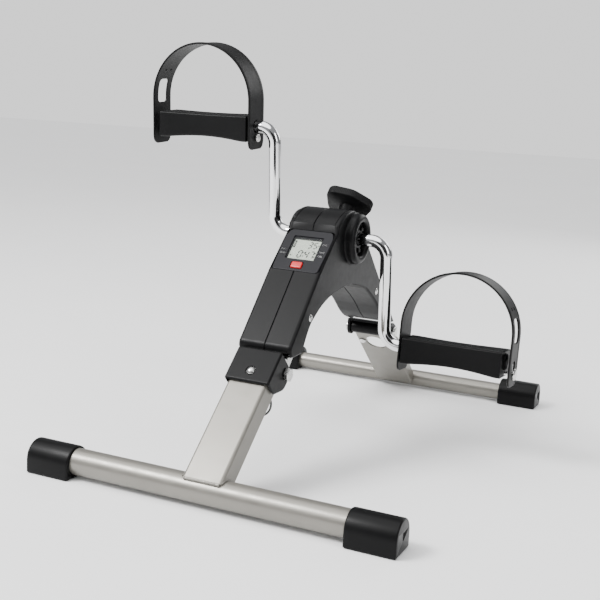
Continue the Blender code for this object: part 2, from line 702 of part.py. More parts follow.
def strap(side, mat):
    """Moulded band that runs over the foot from one end plate to the other."""
    half = (STRAP_OUT - STRAP_IN - STRAP_T) / 2
    mid = (STRAP_OUT + STRAP_IN) / 2
    path = [(mid - half, -24.0 + 4.0 * i) for i in range(0, 13)]
    path += arc((mid, STRAP_SPRING_Z), half, 180.0, 0.0, 32)[1:-1]
    path += [(mid + half, 24.0 - 4.0 * i) for i in range(0, 13)]
    rings = []
    last = len(path) - 1
    for i, (x, z) in enumerate(path):
        ahead = Vector(path[min(i + 1, last)]) - Vector(path[max(i - 1, 0)])
        normal = Vector((-ahead.y, ahead.x)).normalized() * STRAP_T / 2
        reach = min(i, last - i)
        width = STRAP_HALF_W * (0.62, 0.86, 0.97)[reach] if reach < 3 else STRAP_HALF_W
        rings.append([(x + normal.x, -width, z + normal.y), (x + normal.x, width, z + normal.y),
                      (x - normal.x, width, z - normal.y), (x - normal.x, -width, z - normal.y)])
    band = loft("strap_" + ("right" if side > 0 else "left"), rings, mat)
    band = combine(band, rod("hole", 7.2, 70.0, 110.0, None, "X", segments=24))
    band = combine(band, rod("hole", 2.4, 70.0, 110.0, None, "X", (0, 0, -12.0), 14))
    for y, low, high, width in ((0, -15.0, 2.0, 5.0), (0, 20.0, 45.0, 9.0)):
        slot = rounded([(-width, low, 4), (width, low, 4), (width, high, 4), (-width, high, 4)], 4)
        band = combine(band, prism_x("hole", slot, 190.0, 215.0))
    for y in (-5.0, 5.0):
        band = combine(band, rod("hole", 1.8, 180.0, 215.0, None, "X", (0, y, 54.0), 12))
    return placed(sided(band, side), pedal_frame(side))


def strap_stud(side, where, mat):
    name = "strap_stud_" + where + "_" + ("right" if side > 0 else "left")
    if where == "outer":
        profile = [(0, 195.3), (2.0, 195.3), (2.0, 204.9), (6.2, 204.9), (6.2, 206.2), (4.8, 207.4), (0, 207.6)]
        stud = turned(name, profile, mat, 20, "X", (0, 0, -11.5), solid=True)
    else:
        profile = [(0, 82.6), (3.4, 82.9), (4.3, 84.0), (4.3, 85.6), (2.0, 85.6), (2.0, 89.7), (0, 89.7)]
        stud = turned(name, profile, mat, 18, "X", (0, 0, -12.0), solid=True)
    return placed(sided(stud, side), pedal_frame(side))


def retainer(side, mat):
    profile = [(0, 188.2), (8.6, 188.2), (8.6, 196.6), (6.6, 198.0), (0, 198.4)]
    cap = turned("pedal_retainer_" + ("right" if side > 0 else "left"), profile, mat, 24, "X", solid=True)
    return placed(sided(cap, side), pedal_frame(side))


# ---------------------------------------------------------------- legs
def foot_tube(name, y, z, radius, mat):
    return tube(name, radius, radius - TUBE_WALL, -179.4, 179.4, mat, "X", (0, y, z), 32)


def foot_cap(name, side, y, z, radius, height, mat):
    """Arched end cap with a flat base, slipped over the end of a foot tube."""
    half = CAP_WIDTH / 2
    base = rounded([(y - half, 0.0, 1.6), (y + half, 0.0, 1.6), (y + half, 8.0, 0), (y - half, 8.0, 0)], 3)
    outline = base[:-2] + arc((y, height - half), half, 0.0, 180.0, 20)
    start, end = FOOT_HALF - CAP_LENGTH, FOOT_HALF
    layers = [(start, 0.5), (start + 0.5, 0.0), (end - 2.0, 0.0), (end - 0.8, 0.35), (end, 1.4)]
    cap = prism_x(name, outline, 0, 0, mat, layers)
    cap = combine(cap, rod("hole", radius + GAP, start - 5.0, FOOT_HALF - CAP_END_WALL, None, "X", (0, y, z), 28))
    slot = [(y - 5.0, 11.0), (y + 5.0, 11.0), (y + 5.0, 13.6), (y - 5.0, 13.6)]
    cap = combine(cap, prism_x("hole", slot, end - 1.2, end + 4.0))
    return sided(cap, side)


def front_leg(mat):
    """Square steel tube, coped round the foot tube, with holes for the bolt and the pin."""
    top = [(2.0, LEG_FRONT), (2.0, LEG_BACK), (LEG_TOP, LEG_BACK), (LEG_TOP, 2.0), (141.0, 8.2),
           (136.2, LEG_FRONT)]
    layers = [(-LEG_HALF_W, 1.2), (-LEG_HALF_W + 1.2, 0), (LEG_HALF_W - 1.2, 0), (LEG_HALF_W, 1.2)]
    leg = prism_x("front_leg_tube", top, 0, 0, mat, layers)
    inner = [(-9.0, LEG_FRONT - 1.6), (-9.0, LEG_BACK + 1.6), (160.0, LEG_BACK + 1.6), (160.0, LEG_FRONT - 1.6)]
    leg = combine(leg, prism_x("hole", inner, -LEG_HALF_W + 1.6, LEG_HALF_W - 1.6))
    leg = combine(leg, rod("hole", FRONT_TUBE_R + GAP, -40, 40, None, "X", segments=32))
    leg = combine(leg, rod("hole", 3.9, -40, 40, None, "X", (0, *FRONT_PIVOT), 18))
    leg = combine(leg, rod("hole", 5.0, 3.0, 30, None, "Z", (0, LOCK_PIN_S, 0)))
    leg = combine(leg, rod("hole", 3.6, -20, 3.0, None, "Z", (0, LOCK_PIN_S, 0), 16))
    return placed(leg, leg_frame())


def lock_pin(mat):
    """Spring-loaded pin through the leg: domed nose in front, collar inside, tail behind."""
    nose = [(0, 20.4), (2.3, 20.0), (4.0, 18.8), (LOCK_PIN_R, 17.2)]
    profile = nose + [(LOCK_PIN_R, 6.0), (7.4, 6.0), (7.4, 4.4), (3.2, 4.4), (3.2, -15.4), (0, -15.4)]
    pin = turned("lock_pin", profile[::-1], mat, 24, "Z", (0, LOCK_PIN_S, 0), solid=True)
    pin = combine(pin, rod("hole", 1.6, -10, 10, None, "X", (0, LOCK_PIN_S, -12.4), 14))
    return placed(pin, leg_frame())


def pin_spring(mat):
    """Spring round the pin's tail, drawn closed up against the back of the leg."""
    profile = [(3.8, -6.4), (5.6, -6.4), (5.6, -3.1), (3.8, -3.1)]
    return placed(turned("lock_pin_spring", profile, mat, 20, "Z", (0, LOCK_PIN_S, 0)), leg_frame())


def pull_ring(mat):
    """Wire ring through the pin's tail, hanging straight down behind the leg."""
    centre = to_world(leg_frame(), (0, LOCK_PIN_S, -12.4)) / MM
    radius, wire = 13.0, 1.2
    rings = []
    for i in range(28):
        a = 2 * math.pi * i / 28
        out = Vector((math.sin(a), 0, math.cos(a)))
        ring = []
        for k in range(6):
            b = 2 * math.pi * k / 6
            ring.append(tuple(centre + Vector((0, 0, -radius)) + out * (radius + wire * math.cos(b))
                              + Vector((0, wire * math.sin(b), 0))))
        rings.append(ring)
    return loft("pull_ring", rings, mat, closed=True)


def rear_channel(mat):
    """Pressed channel from the barrel to the rear foot tube, with an oval hole in its web."""
    side = [(7.7, -3.2), (131.0, -3.2), (131.0, 6.0), (124.0, 11.0), (34.0, 11.0), (14.0, 5.0), (7.7, 1.0)]
    layers = [(-REAR_HALF_W, 1.6), (-REAR_HALF_W + 1.6, 0), (REAR_HALF_W - 1.6, 0), (REAR_HALF_W, 1.6)]
    channel = prism_x("rear_leg_channel", side, 0, 0, mat, layers)
    inner = [(-5.0, -1.2), (150.0, -1.2), (150.0, 40.0), (-5.0, 40.0)]
    channel = combine(channel, prism_x("hole", inner, -REAR_HALF_W + 2.0, REAR_HALF_W - 2.0))
    oval = [(13.0 * math.cos(2 * math.pi * i / 28), 29.0 + 14.0 * math.sin(2 * math.pi * i / 28))
            for i in range(28)]
    channel = combine(channel, prism_z("hole", oval, -10.0, 5.0))
    channel = combine(channel, rod("hole", 2.6, -10.0, 5.0, None, "Z", (-17.5, 28.0, 0), 12))
    channel = combine(channel, rod("hole", BARREL_R + GAP, -40, 40, None, "X", segments=28))
    placed(channel, rear_frame())
    return combine(channel, rod("hole", REAR_TUBE_R + GAP, -40, 40, None, "X", (0, FOOT_Y, REAR_TUBE_Z), 28))


def rear_barrel(mat):
    return tube("rear_pivot_barrel", BARREL_R, 4.0, -24.2, 24.2, mat, "X", (0, *REAR_PIVOT), 28)


def rear_screw(mat):
    profile = [(0, -5.8), (3.0, -5.5), (4.2, -4.5), (4.2, -3.5), (2.2, -3.5), (2.2, 3.0), (0, 3.0)]
    return placed(turned("rear_leg_screw", profile, mat, 18, "Z", (-17.5, 28.0, 0), solid=True), rear_frame())


# ---------------------------------------------------------------- assembly
def main():
    for old in list(bpy.data.objects):
        bpy.data.objects.remove(old, do_unlink=True)
    plastic = material("black_plastic", (0.022, 0.022, 0.024), 0.42)
    panel = material("console_plastic", (0.055, 0.055, 0.058), 0.35)
    paint = material("silver_paint", (0.52, 0.50, 0.46), 0.38, 0.75)
    chrome = material("chrome", (0.86, 0.86, 0.87), 0.07, 1.0)
    zinc = material("zinc", (0.68, 0.68, 0.66), 0.28, 1.0)
    steel = material("spring_steel", (0.42, 0.42, 0.43), 0.35, 1.0)
    rubber = material("soft_black", (0.030, 0.030, 0.031), 0.62)
    red = material("red_button", (0.70, 0.035, 0.035), 0.40)
    lcd = material("lcd_face", (0.60, 0.66, 0.58), 0.30)
    clear = material("clear_window", (0.80, 0.82, 0.82), 0.08)
    board = material("green_board", (0.03, 0.20, 0.09), 0.50)
    bronze = material("bronze", (0.55, 0.38, 0.17), 0.40, 1.0)

    body = [housing_half(1, plastic), housing_half(-1, plastic), spine(steel), front_bracket(zinc),
            front_cover(plastic), front_bolt(zinc), front_nut(zinc), rear_bracket(plastic), rear_bolt(zinc),
            friction_band(steel), anchor_pin(steel)]
    for side in (1, -1):
        body += [hub_disc(side, plastic), crank_bush(side, bronze), bearing_bracket(side, steel),
                 housing_screw(side, "front", -107.6, 150.4, zinc), housing_screw(side, "rear", 72.2, 151.6, zinc)]
    body += console_parts(panel, lcd, clear, board, steel, board)

    crank = pivot("crank_axis", Vector((0, AXLE_Y, AXLE_Z)) * MM)
    for part in (crank_arm(1, chrome), crank_arm(-1, chrome), drum(steel), magnet(steel)):
        attach(part, crank)
    for side in (1, -1):
        tag = "right" if side > 0 else "left"
        axle = crank_frame(side)
        pedal = pivot("pedal_axis_" + tag, Vector((0, axle.y, axle.z)) * MM, crank)
        for part in (pedal_body(side, rubber), strap(side, rubber), strap_stud(side, "outer", zinc),
                     strap_stud(side, "inner", zinc), retainer(side, rubber)):
            attach(part, pedal)

    knob, screw, nut = tension_parts(plastic, zinc)
    turning = pivot("knob_axis", knob_frame().translation)
    attach(knob, turning)
    attach(screw, turning)
    sliding = pivot("nut_axis", to_world(knob_frame(), (0, 0, -33.7)))
    attach(nut, sliding)
    press = pivot("button_axis", to_world(console_frame(), (0, -19.6, 0)))
    attach(mode_button(red), press)

    fold = pivot("front_fold_axis", to_world(leg_frame(), (0, *FRONT_PIVOT)))
    parts = [front_leg(paint), foot_tube("front_foot_tube", -FOOT_Y, FRONT_TUBE_Z, FRONT_TUBE_R, paint),
             pin_spring(steel)]
    for side in (1, -1):
        name = "front_foot_cap_" + ("right" if side > 0 else "left")
        parts.append(foot_cap(name, side, -FOOT_Y, FRONT_TUBE_Z, FRONT_TUBE_R, FRONT_CAP_HEIGHT, plastic))
    for part in parts:
        attach(part, fold)
    pin_axis = pivot("lock_pin_axis", to_world(leg_frame(), (0, LOCK_PIN_S, 0)), fold)
    attach(lock_pin(zinc), pin_axis)
    ring_axis = pivot("pull_ring_axis", to_world(leg_frame(), (0, LOCK_PIN_S, -12.4)), pin_axis)
    attach(pull_ring(zinc), ring_axis)

    rear = pivot("rear_fold_axis", Vector((0, *REAR_PIVOT)) * MM)
    parts = [rear_channel(paint), rear_barrel(plastic), rear_screw(zinc),
             foot_tube("rear_foot_tube", FOOT_Y, REAR_TUBE_Z, REAR_TUBE_R, paint)]
    for side in (1, -1):
        name = "rear_foot_cap_" + ("right" if side > 0 else "left")
        parts.append(foot_cap(name, side, FOOT_Y, REAR_TUBE_Z, REAR_TUBE_R, REAR_CAP_HEIGHT, plastic))
    for part in parts:
        attach(part, rear)


main()
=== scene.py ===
"""Looks of the folding pedal exerciser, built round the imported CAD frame."""
import math

import bmesh
import bpy
from mathutils import Matrix, Vector


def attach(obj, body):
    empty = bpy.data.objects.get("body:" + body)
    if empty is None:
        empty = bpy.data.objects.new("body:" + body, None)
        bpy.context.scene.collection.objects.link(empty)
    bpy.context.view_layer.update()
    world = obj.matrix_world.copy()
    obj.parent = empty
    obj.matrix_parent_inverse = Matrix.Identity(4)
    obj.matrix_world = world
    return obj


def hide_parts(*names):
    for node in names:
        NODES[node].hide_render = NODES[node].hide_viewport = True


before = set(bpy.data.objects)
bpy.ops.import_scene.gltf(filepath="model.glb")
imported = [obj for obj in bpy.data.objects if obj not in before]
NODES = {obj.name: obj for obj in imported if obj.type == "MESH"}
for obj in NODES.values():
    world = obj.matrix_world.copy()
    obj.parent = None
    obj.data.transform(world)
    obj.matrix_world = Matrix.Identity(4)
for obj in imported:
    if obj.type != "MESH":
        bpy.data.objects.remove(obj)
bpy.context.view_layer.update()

MM = 0.001
# Shading: the stretch of the noise that colour and roughness follow, and the specular levels.
NOISE_RANGE = (0.3, 0.7)
PLAIN_SPECULAR = 0.5
BLACK_SPECULAR = 0.11
BLACK_BELOW = 0.03
# Meshes: distances in metres, angles in degrees.
MERGE = 1e-6
MERGE_CUT = 2e-6
FLAT_ANGLE = 0.6
SHARP_ANGLE = 32.0
MITRE_LIMIT = 0.35


# ---------------------------------------------------------------- node helpers
def new_material(name, base, roughness, metallic=0.0):
    mat = bpy.data.materials.new(name)
    mat.use_nodes = True
    shader = mat.node_tree.nodes["Principled BSDF"]
    shader.inputs["Base Color"].default_value = (*base, 1.0)
    shader.inputs["Roughness"].default_value = roughness
    shader.inputs["Metallic"].default_value = metallic
    return mat, mat.node_tree, shader


def noise(tree, scale, detail=3.0, stretch=None):
    coords = tree.nodes.new("ShaderNodeTexCoord")
    texture = tree.nodes.new("ShaderNodeTexNoise")
    texture.inputs["Scale"].default_value = scale
    texture.inputs["Detail"].default_value = detail
    source = coords.outputs["Object"]
    if stretch:
        mapping = tree.nodes.new("ShaderNodeMapping")
        mapping.inputs["Scale"].default_value = stretch
        tree.links.new(source, mapping.inputs["Vector"])
        source = mapping.outputs["Vector"]
    tree.links.new(source, texture.inputs["Vector"])
    return texture.outputs["Fac"]


def ramp(tree, fac, low, high):
    """Colour from low to high over the middle of the noise."""
    node = tree.nodes.new("ShaderNodeValToRGB")
    elements = node.color_ramp.elements
    elements[0].position, elements[1].position = NOISE_RANGE
    elements[0].color = (*low, 1.0)
    elements[1].color = (*high, 1.0)
    tree.links.new(fac, node.inputs["Fac"])
    return node.outputs["Color"]


def spread(tree, fac, low, high):
    """Number from low to high over the middle of the noise."""
    node = tree.nodes.new("ShaderNodeMapRange")
    node.inputs["From Min"].default_value = NOISE_RANGE[0]
    node.inputs["From Max"].default_value = NOISE_RANGE[1]
    node.inputs["To Min"].default_value = low
    node.inputs["To Max"].default_value = high
    tree.links.new(fac, node.inputs["Value"])
    return node.outputs["Result"]


def bump(tree, shader, height, strength, distance):
    node = tree.nodes.new("ShaderNodeBump")
    node.inputs["Strength"].default_value = strength
    node.inputs["Distance"].default_value = distance
    tree.links.new(height, node.inputs["Height"])
    tree.links.new(node.outputs["Normal"], shader.inputs["Normal"])


def surface(name, base, rough, metallic=0.0, tint=0.12, vary=0.06, grain=1400.0,
            relief=0.25, depth=0.0001, cloud=22.0, stretch=None):
    """Procedural finish: slow colour clouds, fine grain in the relief, uneven roughness."""
    mat, tree, shader = new_material(name, base, rough, metallic)
    slow = noise(tree, cloud, 4.0, stretch)
    low = tuple(c * (1 - tint) for c in base)
    high = tuple(min(1.0, c * (1 + tint)) for c in base)
    tree.links.new(ramp(tree, slow, low, high), shader.inputs["Base Color"])
    mid = noise(tree, cloud * 7.0, 5.0, stretch)
    tree.links.new(spread(tree, mid, rough - vary, rough + vary), shader.inputs["Roughness"])
    fine = noise(tree, grain, 2.0, stretch)
    bump(tree, shader, fine, relief, depth)
    specular = PLAIN_SPECULAR if max(base) > BLACK_BELOW else BLACK_SPECULAR
    shader.inputs["Specular IOR Level"].default_value = specular
    return mat


def dark_finish(name, base, rough, grain, relief):
    """Black plastic or paint, with hardly any colour clouds."""
    return surface(name, base, rough, tint=0.05, vary=0.03, grain=grain, relief=relief)


MATS = {
    "housing": dark_finish("housing_abs", (0.0050, 0.0050, 0.0053), 0.36, 1700.0, 0.16),
    "cover": dark_finish("cover_plastic", (0.0050, 0.0050, 0.0053), 0.36, 1500.0, 0.16),
    "cap": dark_finish("cap_plastic", (0.0040, 0.0040, 0.0042), 0.36, 1300.0, 0.25),
    "tread": dark_finish("tread_plastic", (0.0040, 0.0040, 0.0042), 0.42, 1100.0, 0.20),
    "strap": dark_finish("strap_plastic", (0.0070, 0.0070, 0.0072), 0.44, 1600.0, 0.12),
    "console": dark_finish("console_plate", (0.016, 0.016, 0.018), 0.36, 1900.0, 0.12),
    "knob": dark_finish("knob_plastic", (0.0060, 0.0060, 0.0063), 0.42, 1500.0, 0.15),
    "ear": dark_finish("ear_paint", (0.004, 0.004, 0.0042), 0.30, 900.0, 0.15),
    "paint": surface("silver_paint", (0.215, 0.205, 0.183), 0.34, 0.55, tint=0.05, vary=0.05,
                     grain=2600.0, relief=0.10, depth=0.00005, cloud=12.0),
    "chrome": surface("chrome_plate", (0.82, 0.82, 0.83), 0.06, 1.0, tint=0.02, vary=0.02,
                      grain=500.0, relief=0.02, depth=0.00003, cloud=16.0),
    "zinc": surface("zinc_plate", (0.66, 0.66, 0.65), 0.24, 1.0, tint=0.07, vary=0.07,
                    grain=1400.0, relief=0.12, depth=0.00004, cloud=90.0),
    "steel": surface("plain_steel", (0.40, 0.40, 0.41), 0.36, 1.0, tint=0.10,
                     grain=900.0, relief=0.15, cloud=60.0, stretch=(1.0, 6.0, 6.0)),
    "bronze": surface("bearing_bronze", (0.52, 0.36, 0.17), 0.38, 1.0, tint=0.12,
                      grain=900.0, relief=0.2),
    "button": surface("button_red", (0.55, 0.012, 0.014), 0.38, tint=0.06,
                      grain=1500.0, relief=0.12),
    "board": surface("board_green", (0.03, 0.18, 0.08), 0.45, tint=0.15,
                     grain=800.0, relief=0.2, cloud=120.0),
    "lcd": surface("lcd_face", (0.44, 0.48, 0.41), 0.34, tint=0.03, vary=0.03,
                   grain=2200.0, relief=0.05),
    "ink": surface("segment_ink", (0.008, 0.009, 0.009), 0.35, tint=0.08,
                   grain=1800.0, relief=0.05),
    "print": surface("label_print", (0.78, 0.78, 0.77), 0.45, tint=0.03,
                     grain=1800.0, relief=0.05),
    "weld": surface("painted_weld", (0.215, 0.205, 0.185), 0.42, 0.5, tint=0.12, vary=0.1,
                    grain=420.0, relief=0.8, depth=0.0006, cloud=120.0),
    "dark_steel": surface("dark_steel", (0.08, 0.08, 0.08), 0.42, 1.0, tint=0.15,
                          grain=900.0, relief=0.15),
    "card": surface("dark_card", (0.02, 0.02, 0.02), 0.8),
    "floor": surface("pale_floor", (0.90, 0.90, 0.90), 0.55, tint=0.01, vary=0.03,
                     grain=90.0, relief=0.03, cloud=1.5),
}


def clear_material():
    mat, tree, shader = new_material("clear_window", (0.30, 0.32, 0.31), 0.04)
    shader.inputs["Alpha"].default_value = 0.05
    shader.inputs["Specular IOR Level"].default_value = 0.5
    haze = noise(tree, 160.0, 3.0)
    tree.links.new(spread(tree, haze, 0.03, 0.08), shader.inputs["Roughness"])
    return mat


MATS["clear"] = clear_material()


# ---------------------------------------------------------------- outlines
def arc(centre, radius, start, end, steps):
    points = []
    for i in range(steps + 1):
        a = math.radians(start + (end - start) * i / steps)
        points.append((centre[0] + radius * math.cos(a), centre[1] + radius * math.sin(a)))
    return points


def box(left, low, right, high):
    """Four-cornered outline."""
    return [(left, low), (right, low), (right, high), (left, high)]


def rounded(corners, steps=8):
    """Closed outline from (a, b, radius) corners, each rounded by an arc of that radius."""
    points = []
    count = len(corners)
    for i, (a, b, radius) in enumerate(corners):
        here = Vector((a, b))
        if radius <= 0:
            points.append((a, b))
            continue
        back = (Vector(corners[i - 1][:2]) - here).normalized()
        ahead = (Vector(corners[(i + 1) % count][:2]) - here).normalized()
        half = math.acos(max(-1.0, min(1.0, back.dot(ahead)))) / 2
        centre = here + (back + ahead).normalized() * (radius / math.sin(half))
        first = here + back * (radius / math.tan(half)) - centre
        last = here + ahead * (radius / math.tan(half)) - centre
        turn = first.angle_signed(last)
        for k in range(steps + 1):
            c, s = math.cos(-turn * k / steps), math.sin(-turn * k / steps)
            points.append((centre.x + first.x * c - first.y * s, centre.y + first.x * s + first.y * c))
    return points


def rounded_box(left, low, right, high, radius, steps=8):
    return rounded([(a, b, radius) for a, b in box(left, low, right, high)], steps)


def inset(outline, distance):
    """Closed outline moved inwards, with its corners mitred."""
    area = sum(a[0] * b[1] - b[0] * a[1] for a, b in zip(outline, outline[1:] + outline[:1]))
    side = 1.0 if area > 0 else -1.0
    moved = []
    count = len(outline)
    for i in range(count):
        here = Vector(outline[i])
        one = (here - Vector(outline[i - 1])).normalized()
        two = (Vector(outline[(i + 1) % count]) - here).normalized()
        normal = (Vector((-one.y - two.y, one.x + two.x)) * side).normalized()
        mitre = max(MITRE_LIMIT, abs(normal.dot(Vector((-one.y, one.x)))))
        moved.append(tuple(here + normal * distance / mitre))
    return moved


def curve(points, steps):
    """Smooth open line through the points (Catmull-Rom)."""
    padded = [points[0]] + list(points) + [points[-1]]
    line = []
    for i in range(1, len(padded) - 2):
        p0, p1, p2, p3 = (Vector(p) for p in padded[i - 1:i + 3])
        for k in range(steps):
            t = k / steps
            line.append(tuple(0.5 * (2 * p1 + (p2 - p0) * t + (2 * p0 - 5 * p1 + 4 * p2 - p3) * t * t
                                     + (3 * p1 - p0 - 3 * p2 + p3) * t ** 3)))
    line.append(tuple(points[-1]))
    return line


def strip(points, thickness):
    """Closed outline of a band that follows an open line."""
    left, right = [], []
    for i, point in enumerate(points):
        here = Vector(point)
        behind = here - Vector(points[i - 1]) if i else Vector(points[1]) - here
        ahead = Vector(points[i + 1]) - here if i + 1 < len(points) else behind
        one, two = behind.normalized(), ahead.normalized()
        normal = Vector((-one.y - two.y, one.x + two.x)).normalized()
        shift = normal * thickness / 2 / abs(normal.dot(Vector((-one.y, one.x))))
        left.append(tuple(here + shift))
        right.append(tuple(here - shift))
    return left + right[::-1]


# ---------------------------------------------------------------- meshes, in millimetres
def build(name, verts, faces, smooth=True):
    """Object from points in millimetres, its faces turned outwards."""
    mesh = bpy.data.meshes.new(name)
    mesh.from_pydata([Vector(v) * MM for v in verts], [], faces)
    bm = bmesh.new()
    bm.from_mesh(mesh)
    bmesh.ops.remove_doubles(bm, verts=bm.verts, dist=MERGE)
    bmesh.ops.recalc_face_normals(bm, faces=bm.faces)
    bm.to_mesh(mesh)
    bm.free()
    obj = bpy.data.objects.new(name, mesh)
    bpy.context.scene.collection.objects.link(obj)
    if smooth:
        mesh.shade_smooth()
        mesh.set_sharp_from_angle(angle=math.radians(SHARP_ANGLE))
    return obj


def loft(name, rings, closed=False):
    """Skin over rings of equal count, capped at both ends or joined into a loop."""
    count = len(rings[0])
    verts = [v for ring in rings for v in ring]
    faces = []
    for r in range(len(rings) if closed else len(rings) - 1):
        base, top = r * count, ((r + 1) % len(rings)) * count
        for i in range(count):
            j = (i + 1) % count
            faces.append((base + i, base + j, top + j, top + i))
    if not closed:
        faces.append(tuple(range(count)))
        faces.append(tuple(range((len(rings) - 1) * count, len(rings) * count)))
    return build(name, verts, faces)


def layered(name, outline, layers, axis="X"):
    """Solid of one outline along an axis, from (place, inset) layers."""
    rings = []
    for place, distance in layers:
        ring = inset(outline, distance) if distance else outline
        rings.append([(place, a, b) if axis == "X" else (a, b, place) for a, b in ring])
    return loft(name, rings)


def prism_x(name, outline, lo, hi):
    return layered(name, outline, [(lo, 0.0), (hi, 0.0)])


def prism_z(name, outline, lo, hi):
    return layered(name, outline, [(lo, 0.0), (hi, 0.0)], "Z")


def turned(name, profile, segments=48, axis="X", centre=(0.0, 0.0, 0.0), solid=False):
    """Body of revolution from (radius, along) points. A solid one starts and ends on the axis."""
    rings = []
    for i in range(segments):
        a = 2 * math.pi * i / segments
        ring = []
        for radius, along in profile:
            u, v = radius * math.cos(a), radius * math.sin(a)
            point = {"X": (along, u, v), "Y": (v, along, u), "Z": (u, v, along)}[axis]
            ring.append(tuple(p + c for p, c in zip(point, centre)))
        rings.append(ring)
    count = len(profile)
    verts = [v for ring in rings for v in ring]
    faces = []
    for r in range(segments):
        base, top = r * count, ((r + 1) % segments) * count
        for i in range(count if not solid else count - 1):
            j = (i + 1) % count
            corners = [base + i, base + j, top + j, top + i]
            if solid and profile[i][0] == 0:
                corners = [base + i, base + j, top + j]
            if solid and profile[j][0] == 0:
                corners = [base + i, base + j, top + i]
            faces.append(tuple(corners))
    return build(name, verts, faces)


def rod(name, radius, lo, hi, axis="X", centre=(0.0, 0.0, 0.0), segments=32):
    return turned(name, [(0, lo), (radius, lo), (radius, hi), (0, hi)], segments, axis, centre, solid=True)


def swept(name, path, radius, segments=20, closed=False, flat=1.0):
    """Round or oval bar along a path in any plane, carried round without twisting."""
    points = [Vector(p) for p in path]
    count = len(points)
    rings = []
    side = None
    for i, point in enumerate(points):
        ahead = points[(i + 1) % count] if closed else points[min(i + 1, count - 1)]
        behind = points[i - 1] if closed else points[max(i - 1, 0)]
        tangent = (ahead - behind).normalized()
        if side is None:
            side = tangent.orthogonal().normalized()
        side = (side - tangent * side.dot(tangent)).normalized()
        across = tangent.cross(side)
        rings.append([tuple(point + side * radius * math.cos(2 * math.pi * k / segments)
                            + across * radius * flat * math.sin(2 * math.pi * k / segments))
                      for k in range(segments)])
    return loft(name, rings, closed)


def applied(obj):
    bpy.context.view_layer.update()
    evaluated = obj.evaluated_get(bpy.context.evaluated_depsgraph_get())
    result = bpy.data.meshes.new_from_object(evaluated)
    obj.modifiers.clear()
    obj.data = result
    return obj


def combine(obj, other, operation="DIFFERENCE"):
    modifier = obj.modifiers.new("cut", "BOOLEAN")
    modifier.operation = operation
    modifier.object = other
    applied(obj)
    bpy.data.objects.remove(other, do_unlink=True)
    return obj


def softened(obj, width=0.35, segments=2, angle=SHARP_ANGLE):
    """Small bevel on the sharp edges, with the flat faces kept flat in the shading."""
    bm = bmesh.new()
    bm.from_mesh(obj.data)
    bmesh.ops.remove_doubles(bm, verts=bm.verts, dist=MERGE_CUT)
    bmesh.ops.dissolve_limit(bm, angle_limit=math.radians(FLAT_ANGLE), verts=bm.verts, edges=bm.edges)
    bm.to_mesh(obj.data)
    bm.free()
    obj.data.shade_smooth()
    modifier = obj.modifiers.new("edge", "BEVEL")
    modifier.width = width * MM
    modifier.segments = segments
    modifier.limit_method = "ANGLE"
    modifier.angle_limit = math.radians(angle)
    modifier.harden_normals = False
    normals = obj.modifiers.new("normals", "WEIGHTED_NORMAL")
    normals.keep_sharp = True
    return applied(obj)


def mirrored(obj):
    bm = bmesh.new()
    bm.from_mesh(obj.data)
    bmesh.ops.scale(bm, vec=(-1, 1, 1), verts=bm.verts)
    bmesh.ops.reverse_faces(bm, faces=bm.faces)
    bm.to_mesh(obj.data)
    bm.free()
    return obj


def sided(obj, side):
    """Pieces are drawn for the right side. Mirroring comes before the bevel, which sets normals."""
    return mirrored(obj) if side < 0 else obj


def placed(obj, matrix):
    obj.data.transform(matrix)
    obj.data.update()
    return obj


def finished(obj, mat, body, slot, *nodes):
    """Give a piece its finish and body, and hide the CAD nodes it stands for."""
    obj.data.materials.clear()
    obj.data.materials.append(MATS[mat])
    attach(obj, body)
    if nodes:
        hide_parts(*nodes)
    return obj


def refined(node, mat, body, slot, width=0.35, segments=2, angle=SHARP_ANGLE):
    """Copy of a CAD node with its edges eased."""
    mesh = NODES[node].data.copy()
    obj = bpy.data.objects.new(node + "_look", mesh)
    bpy.context.scene.collection.objects.link(obj)
    softened(obj, width, segments, angle)
    return finished(obj, mat, body, slot, node)


# ---------------------------------------------------------------- frames, as in the CAD
def along_x(angle, y, z):
    """Frame at (0, y, z) millimetres, turned about X."""
    return Matrix.Translation(Vector((0, y, z)) * MM) @ Matrix.Rotation(math.radians(angle), 4, "X")


AXLE = (-6.3, 218.6)
CONSOLE_SLOPE = 42.1
# Feet: y and z of the tube, its radius, and the cap's height.
FRONT_FOOT = (-252.15, 15.0, 12.7, 29.7)
REAR_FOOT = (252.15, 11.7, 10.0, 29.0)
# Crank: where its arms bend from the middle plane, its throw, its lean from upright in degrees.
CRANK_X = 64.5
CRANK_THROW = 109.8
CRANK_LEAN = 6.3
PEDAL_TILT = {1: -5.0, -1: 4.0}
LEG = along_x(42.0, *FRONT_FOOT[:2])
REAR = along_x(-39.6, 141.0, 93.0)
CONSOLE = along_x(CONSOLE_SLOPE, -71.8, 210.1)
KNOB = along_x(-45.0, 37.541, 245.470)
FRONT_PIVOT = (135.5, -5.0)
PIN_S = 119.0


def axle_end(side):
    """Pedal axle's place: the right crank arm points down, the left one up."""
    lean = math.radians(CRANK_LEAN)
    up = -1.0 if side > 0 else 1.0
    return Vector((side * CRANK_X, AXLE[0] - up * CRANK_THROW * math.sin(lean),
                   AXLE[1] + up * CRANK_THROW * math.cos(lean)))


def pedal_frame(side):
    end = axle_end(side)
    return along_x(PEDAL_TILT[side], end.y, end.z)


def tag(side):
    return "right" if side > 0 else "left"


# ---------------------------------------------------------------- camera, lights and floor
# Camera: azimuth, elevation and roll in degrees, place in metres, lens and sensor in millimetres.
CAMERA_TURN = (24.22, 10.62, 3.19)
CAMERA_PLACE = (0.42514, -1.01818, 0.35396)
CAMERA_LENS = 62.73
CAMERA_SENSOR = 36.0
CAMERA_NEAR = 0.05
